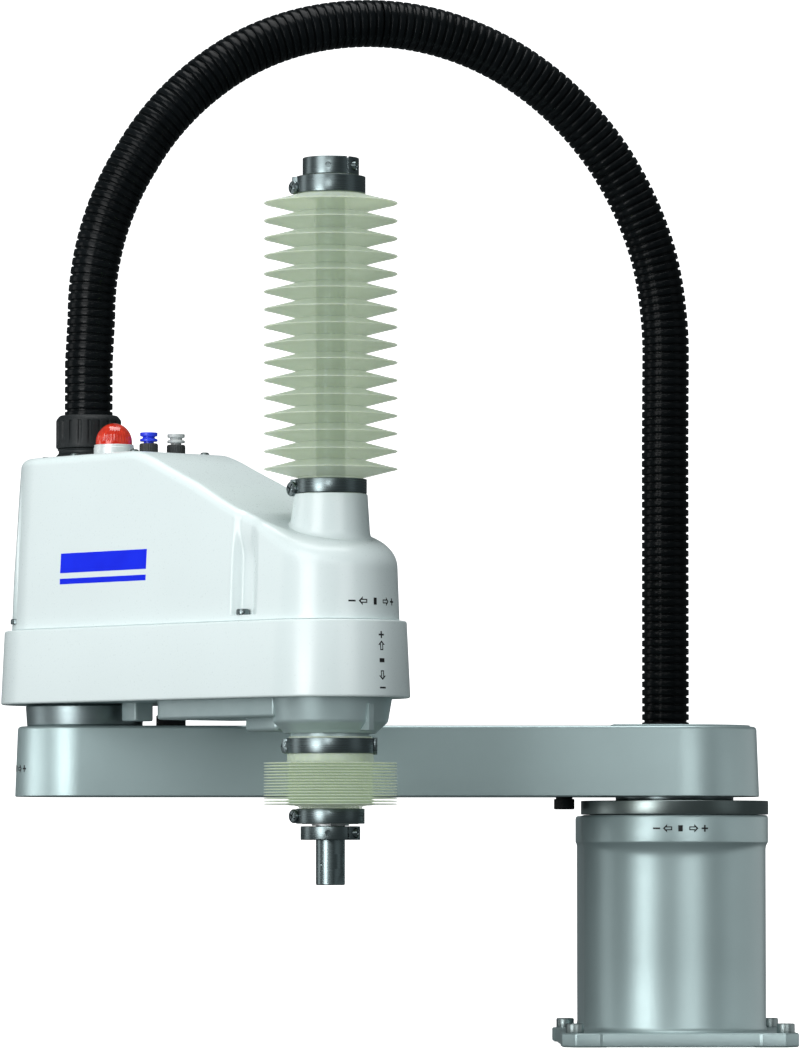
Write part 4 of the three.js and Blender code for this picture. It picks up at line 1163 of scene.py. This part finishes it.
up = on_cover(0, -1, 52.7, 47.5, (INS_Z, INS))
lowc = on_cover(0, -1, 60.4, 55.0, ([244, 297], [0, 2.55]))
bar = []
for k in range(5):
    bar.append(([(-1, -1)], 0, 0, 0))
st = marks("generic_blue_bar", [([(-48, -7.0), (48, -7.0), (48, 7.0), (-48, 7.0)], 83, 343.5, 0), ([(-48, -2.0), (48, -2.0), (48, 2.0), (-48, 2.0)], 83, 330.5, 0)], up, "arm_2", m_stripe)
mu = marks("u_direction_marks", [("minus", 330.5, 309.5, 0), ("arrow", 335.5, 309.5, 0), ([(-1.3, -2.4), (1.3, -2.4), (1.3, 2.4), (-1.3, 2.4)], 349, 309.5, 0), ("arrow", 363, 309.5, math.pi), ("plus", 367.5, 309.5, 0)], up, "arm_2", m_mark)
mz = marks("z_direction_marks", [("plus", 361, 286.5, 0), ("arrow", 361, 282.5, -math.pi / 2), ([(-2.2, -1.4), (2.2, -1.4), (2.2, 1.4), (-2.2, 1.4)], 361, 269.0, 0), ("arrow", 361, 255.5, math.pi / 2), ("minus", 361, 250.3, 0)], lowc, "arm_2", m_mark)
ma = marks("j2_direction_marks", [("plus", 26, 198, 0), ("arrow", 21.5, 198, math.pi), ([(-1.6, -2.2), (1.6, -2.2), (1.6, 2.2), (-1.6, 2.2)], 9, 198, 0), ("arrow", -3.5, 198, 0), ("minus", -8.5, 198, 0)], on_cylinder(-A1, 0, 49.3, math.pi), "arm_1", m_mark)

# ------------------------------------------------------------------ floor, backdrop and light
m_floor = Mat("studio_floor", (0.90, 0.90, 0.90), 0.8)
m_floor.rough(m_floor.noise(3, 2), 0.75, 0.85)
m_floor.b.inputs["Specular IOR Level"].default_value = 0.1
m_floor.b.inputs["Emission Color"].default_value = (1, 1, 1, 1)
m_floor.b.inputs["Emission Strength"].default_value = 1.0
prof_f = [(-1.5, 0), (-0.5, 0), (0.4, 0), (2.6, 0)] + [(2.6 + 0.8 * math.sin(t), 0.8 - 0.8 * math.cos(t)) for t in np.linspace(0.1, math.pi / 2, 14)] + [(3.4, 2.2)]
V, F = [], []
for y, z in prof_f:
    V += [(-1.5, y, z - 0.0004), (1.1, y, z - 0.0004)]
for i in range(len(prof_f) - 1):
    F.append((2 * i, 2 * i + 1, 2 * i + 3, 2 * i + 2))
me = bpy.data.meshes.new("studio_floor")
me.from_pydata(V, [], F)
me.polygons.foreach_set("use_smooth", [True] * len(me.polygons))
me.materials.append(m_floor.m)
floor = bpy.data.objects.new("studio_floor", me)
scene.collection.objects.link(floor)
floor.visible_diffuse = False
floor.visible_glossy = False
apron_mesh = bpy.data.meshes.new("studio_apron")
corners = [(-6, -4.2, 6, -1.5), (-6, -1.5, -1.5, 5), (1.1, -1.5, 6, 5)]
apron_mesh.from_pydata([p for x0, y0, x1, y1 in corners for p in ((x0, y0, -0.0004), (x1, y0, -0.0004), (x1, y1, -0.0004), (x0, y1, -0.0004))],
                       [], [(4 * k, 4 * k + 1, 4 * k + 2, 4 * k + 3) for k in range(3)])
apron_mesh.materials.append(m_floor.m)
apron = bpy.data.objects.new("studio_apron", apron_mesh)
scene.collection.objects.link(apron)
apron.visible_diffuse = apron.visible_glossy = apron.visible_shadow = False
if hasattr(m_floor.m, "cycles"):
    m_floor.m.cycles.emission_sampling = "NONE"

world = bpy.data.worlds.new("studio")
scene.world = world
world.use_nodes = True
world.node_tree.nodes["Background"].inputs["Color"].default_value = (0.85, 0.97, 1.0, 1)
world.node_tree.nodes["Background"].inputs["Strength"].default_value = 0.13


def area(name, azimuth, distance, z, size, height, power, color=(1, 1, 1), aim=(-0.25, -0.05, 0.33)):
    """Soft box: azimuth is measured from the camera's side of the object, to the right."""
    L = bpy.data.lights.new(name, "AREA")
    L.shape = "RECTANGLE"
    L.size, L.size_y = size, height
    L.energy, L.color = power, color
    ob = bpy.data.objects.new(name, L)
    scene.collection.objects.link(ob)
    t = math.radians(azimuth)
    ob.location = (aim[0] + distance * math.sin(t), aim[1] - distance * math.cos(t), z)
    ob.rotation_euler = (Vector(aim) - ob.location).to_track_quat("-Z", "Y").to_euler()
    return ob


area("key_left", -38, 2.5, 1.25, 1.4, 2.4, 41)
area("key_low", -36, 2.2, 0.2, 0.7, 0.7, 11)
area("rim_left", -98, 2.0, 0.5, 0.7, 1.6, 5)
area("key_front", 2, 3.4, 1.7, 0.8, 1.0, 4)
area("fill_right", 66, 3.0, 0.8, 1.4, 2.0, 2.2, (0.92, 0.98, 1.0))
area("top_soft", 0, 0.01, 2.6, 1.8, 1.8, 46)


def only(name, lights, test):
    """Soft boxes that light one group of surfaces."""
    group = bpy.data.collections.new(name)
    for ob in list(scene.collection.all_objects):
        if ob.type == "MESH" and test(ob):
            group.objects.link(ob)
    for L in lights:
        L.visible_camera = False
        L.light_linking.receiver_collection = group


only("painted_castings", [area("base_front", 15, 1.3, 0.24, 0.55, 0.7, 4.2, (1, 1, 1), (0.03, 0.0, 0.13)),
                          area("base_right", 100, 0.9, 0.14, 1.6, 0.6, 2.2, (1, 1, 1), (0.0, 0.0, 0.11))],
     lambda ob: any(m in (m_cast.m, m_bolt.m) for m in ob.data.materials))
only("first_link_end", [area("link_end_left", -84, 1.1, 0.22, 0.7, 0.5, 3.2, (1, 1, 1), (-0.45, 0.0, 0.2))],
     lambda ob: ob.name.startswith("arm_1") and m_cast.m in list(ob.data.materials))
only("covers_and_bellows", [area("cover_front", 24, 2.4, 0.6, 1.0, 1.2, 9.0)],
     lambda ob: any(m in (m_white.m, m_bel.m, film_dense, m_under.m) for m in ob.data.materials))
only("spindle_metal", [area("metal_front", -8, 3.0, 0.8, 0.6, 0.5, 9)],
     lambda ob: any(m in (m_dark.m, m_shaft.m) for m in ob.data.materials))
scene.view_settings.view_transform = "Standard"
scene.view_settings.look = "None"
scene.view_settings.exposure = 0.0
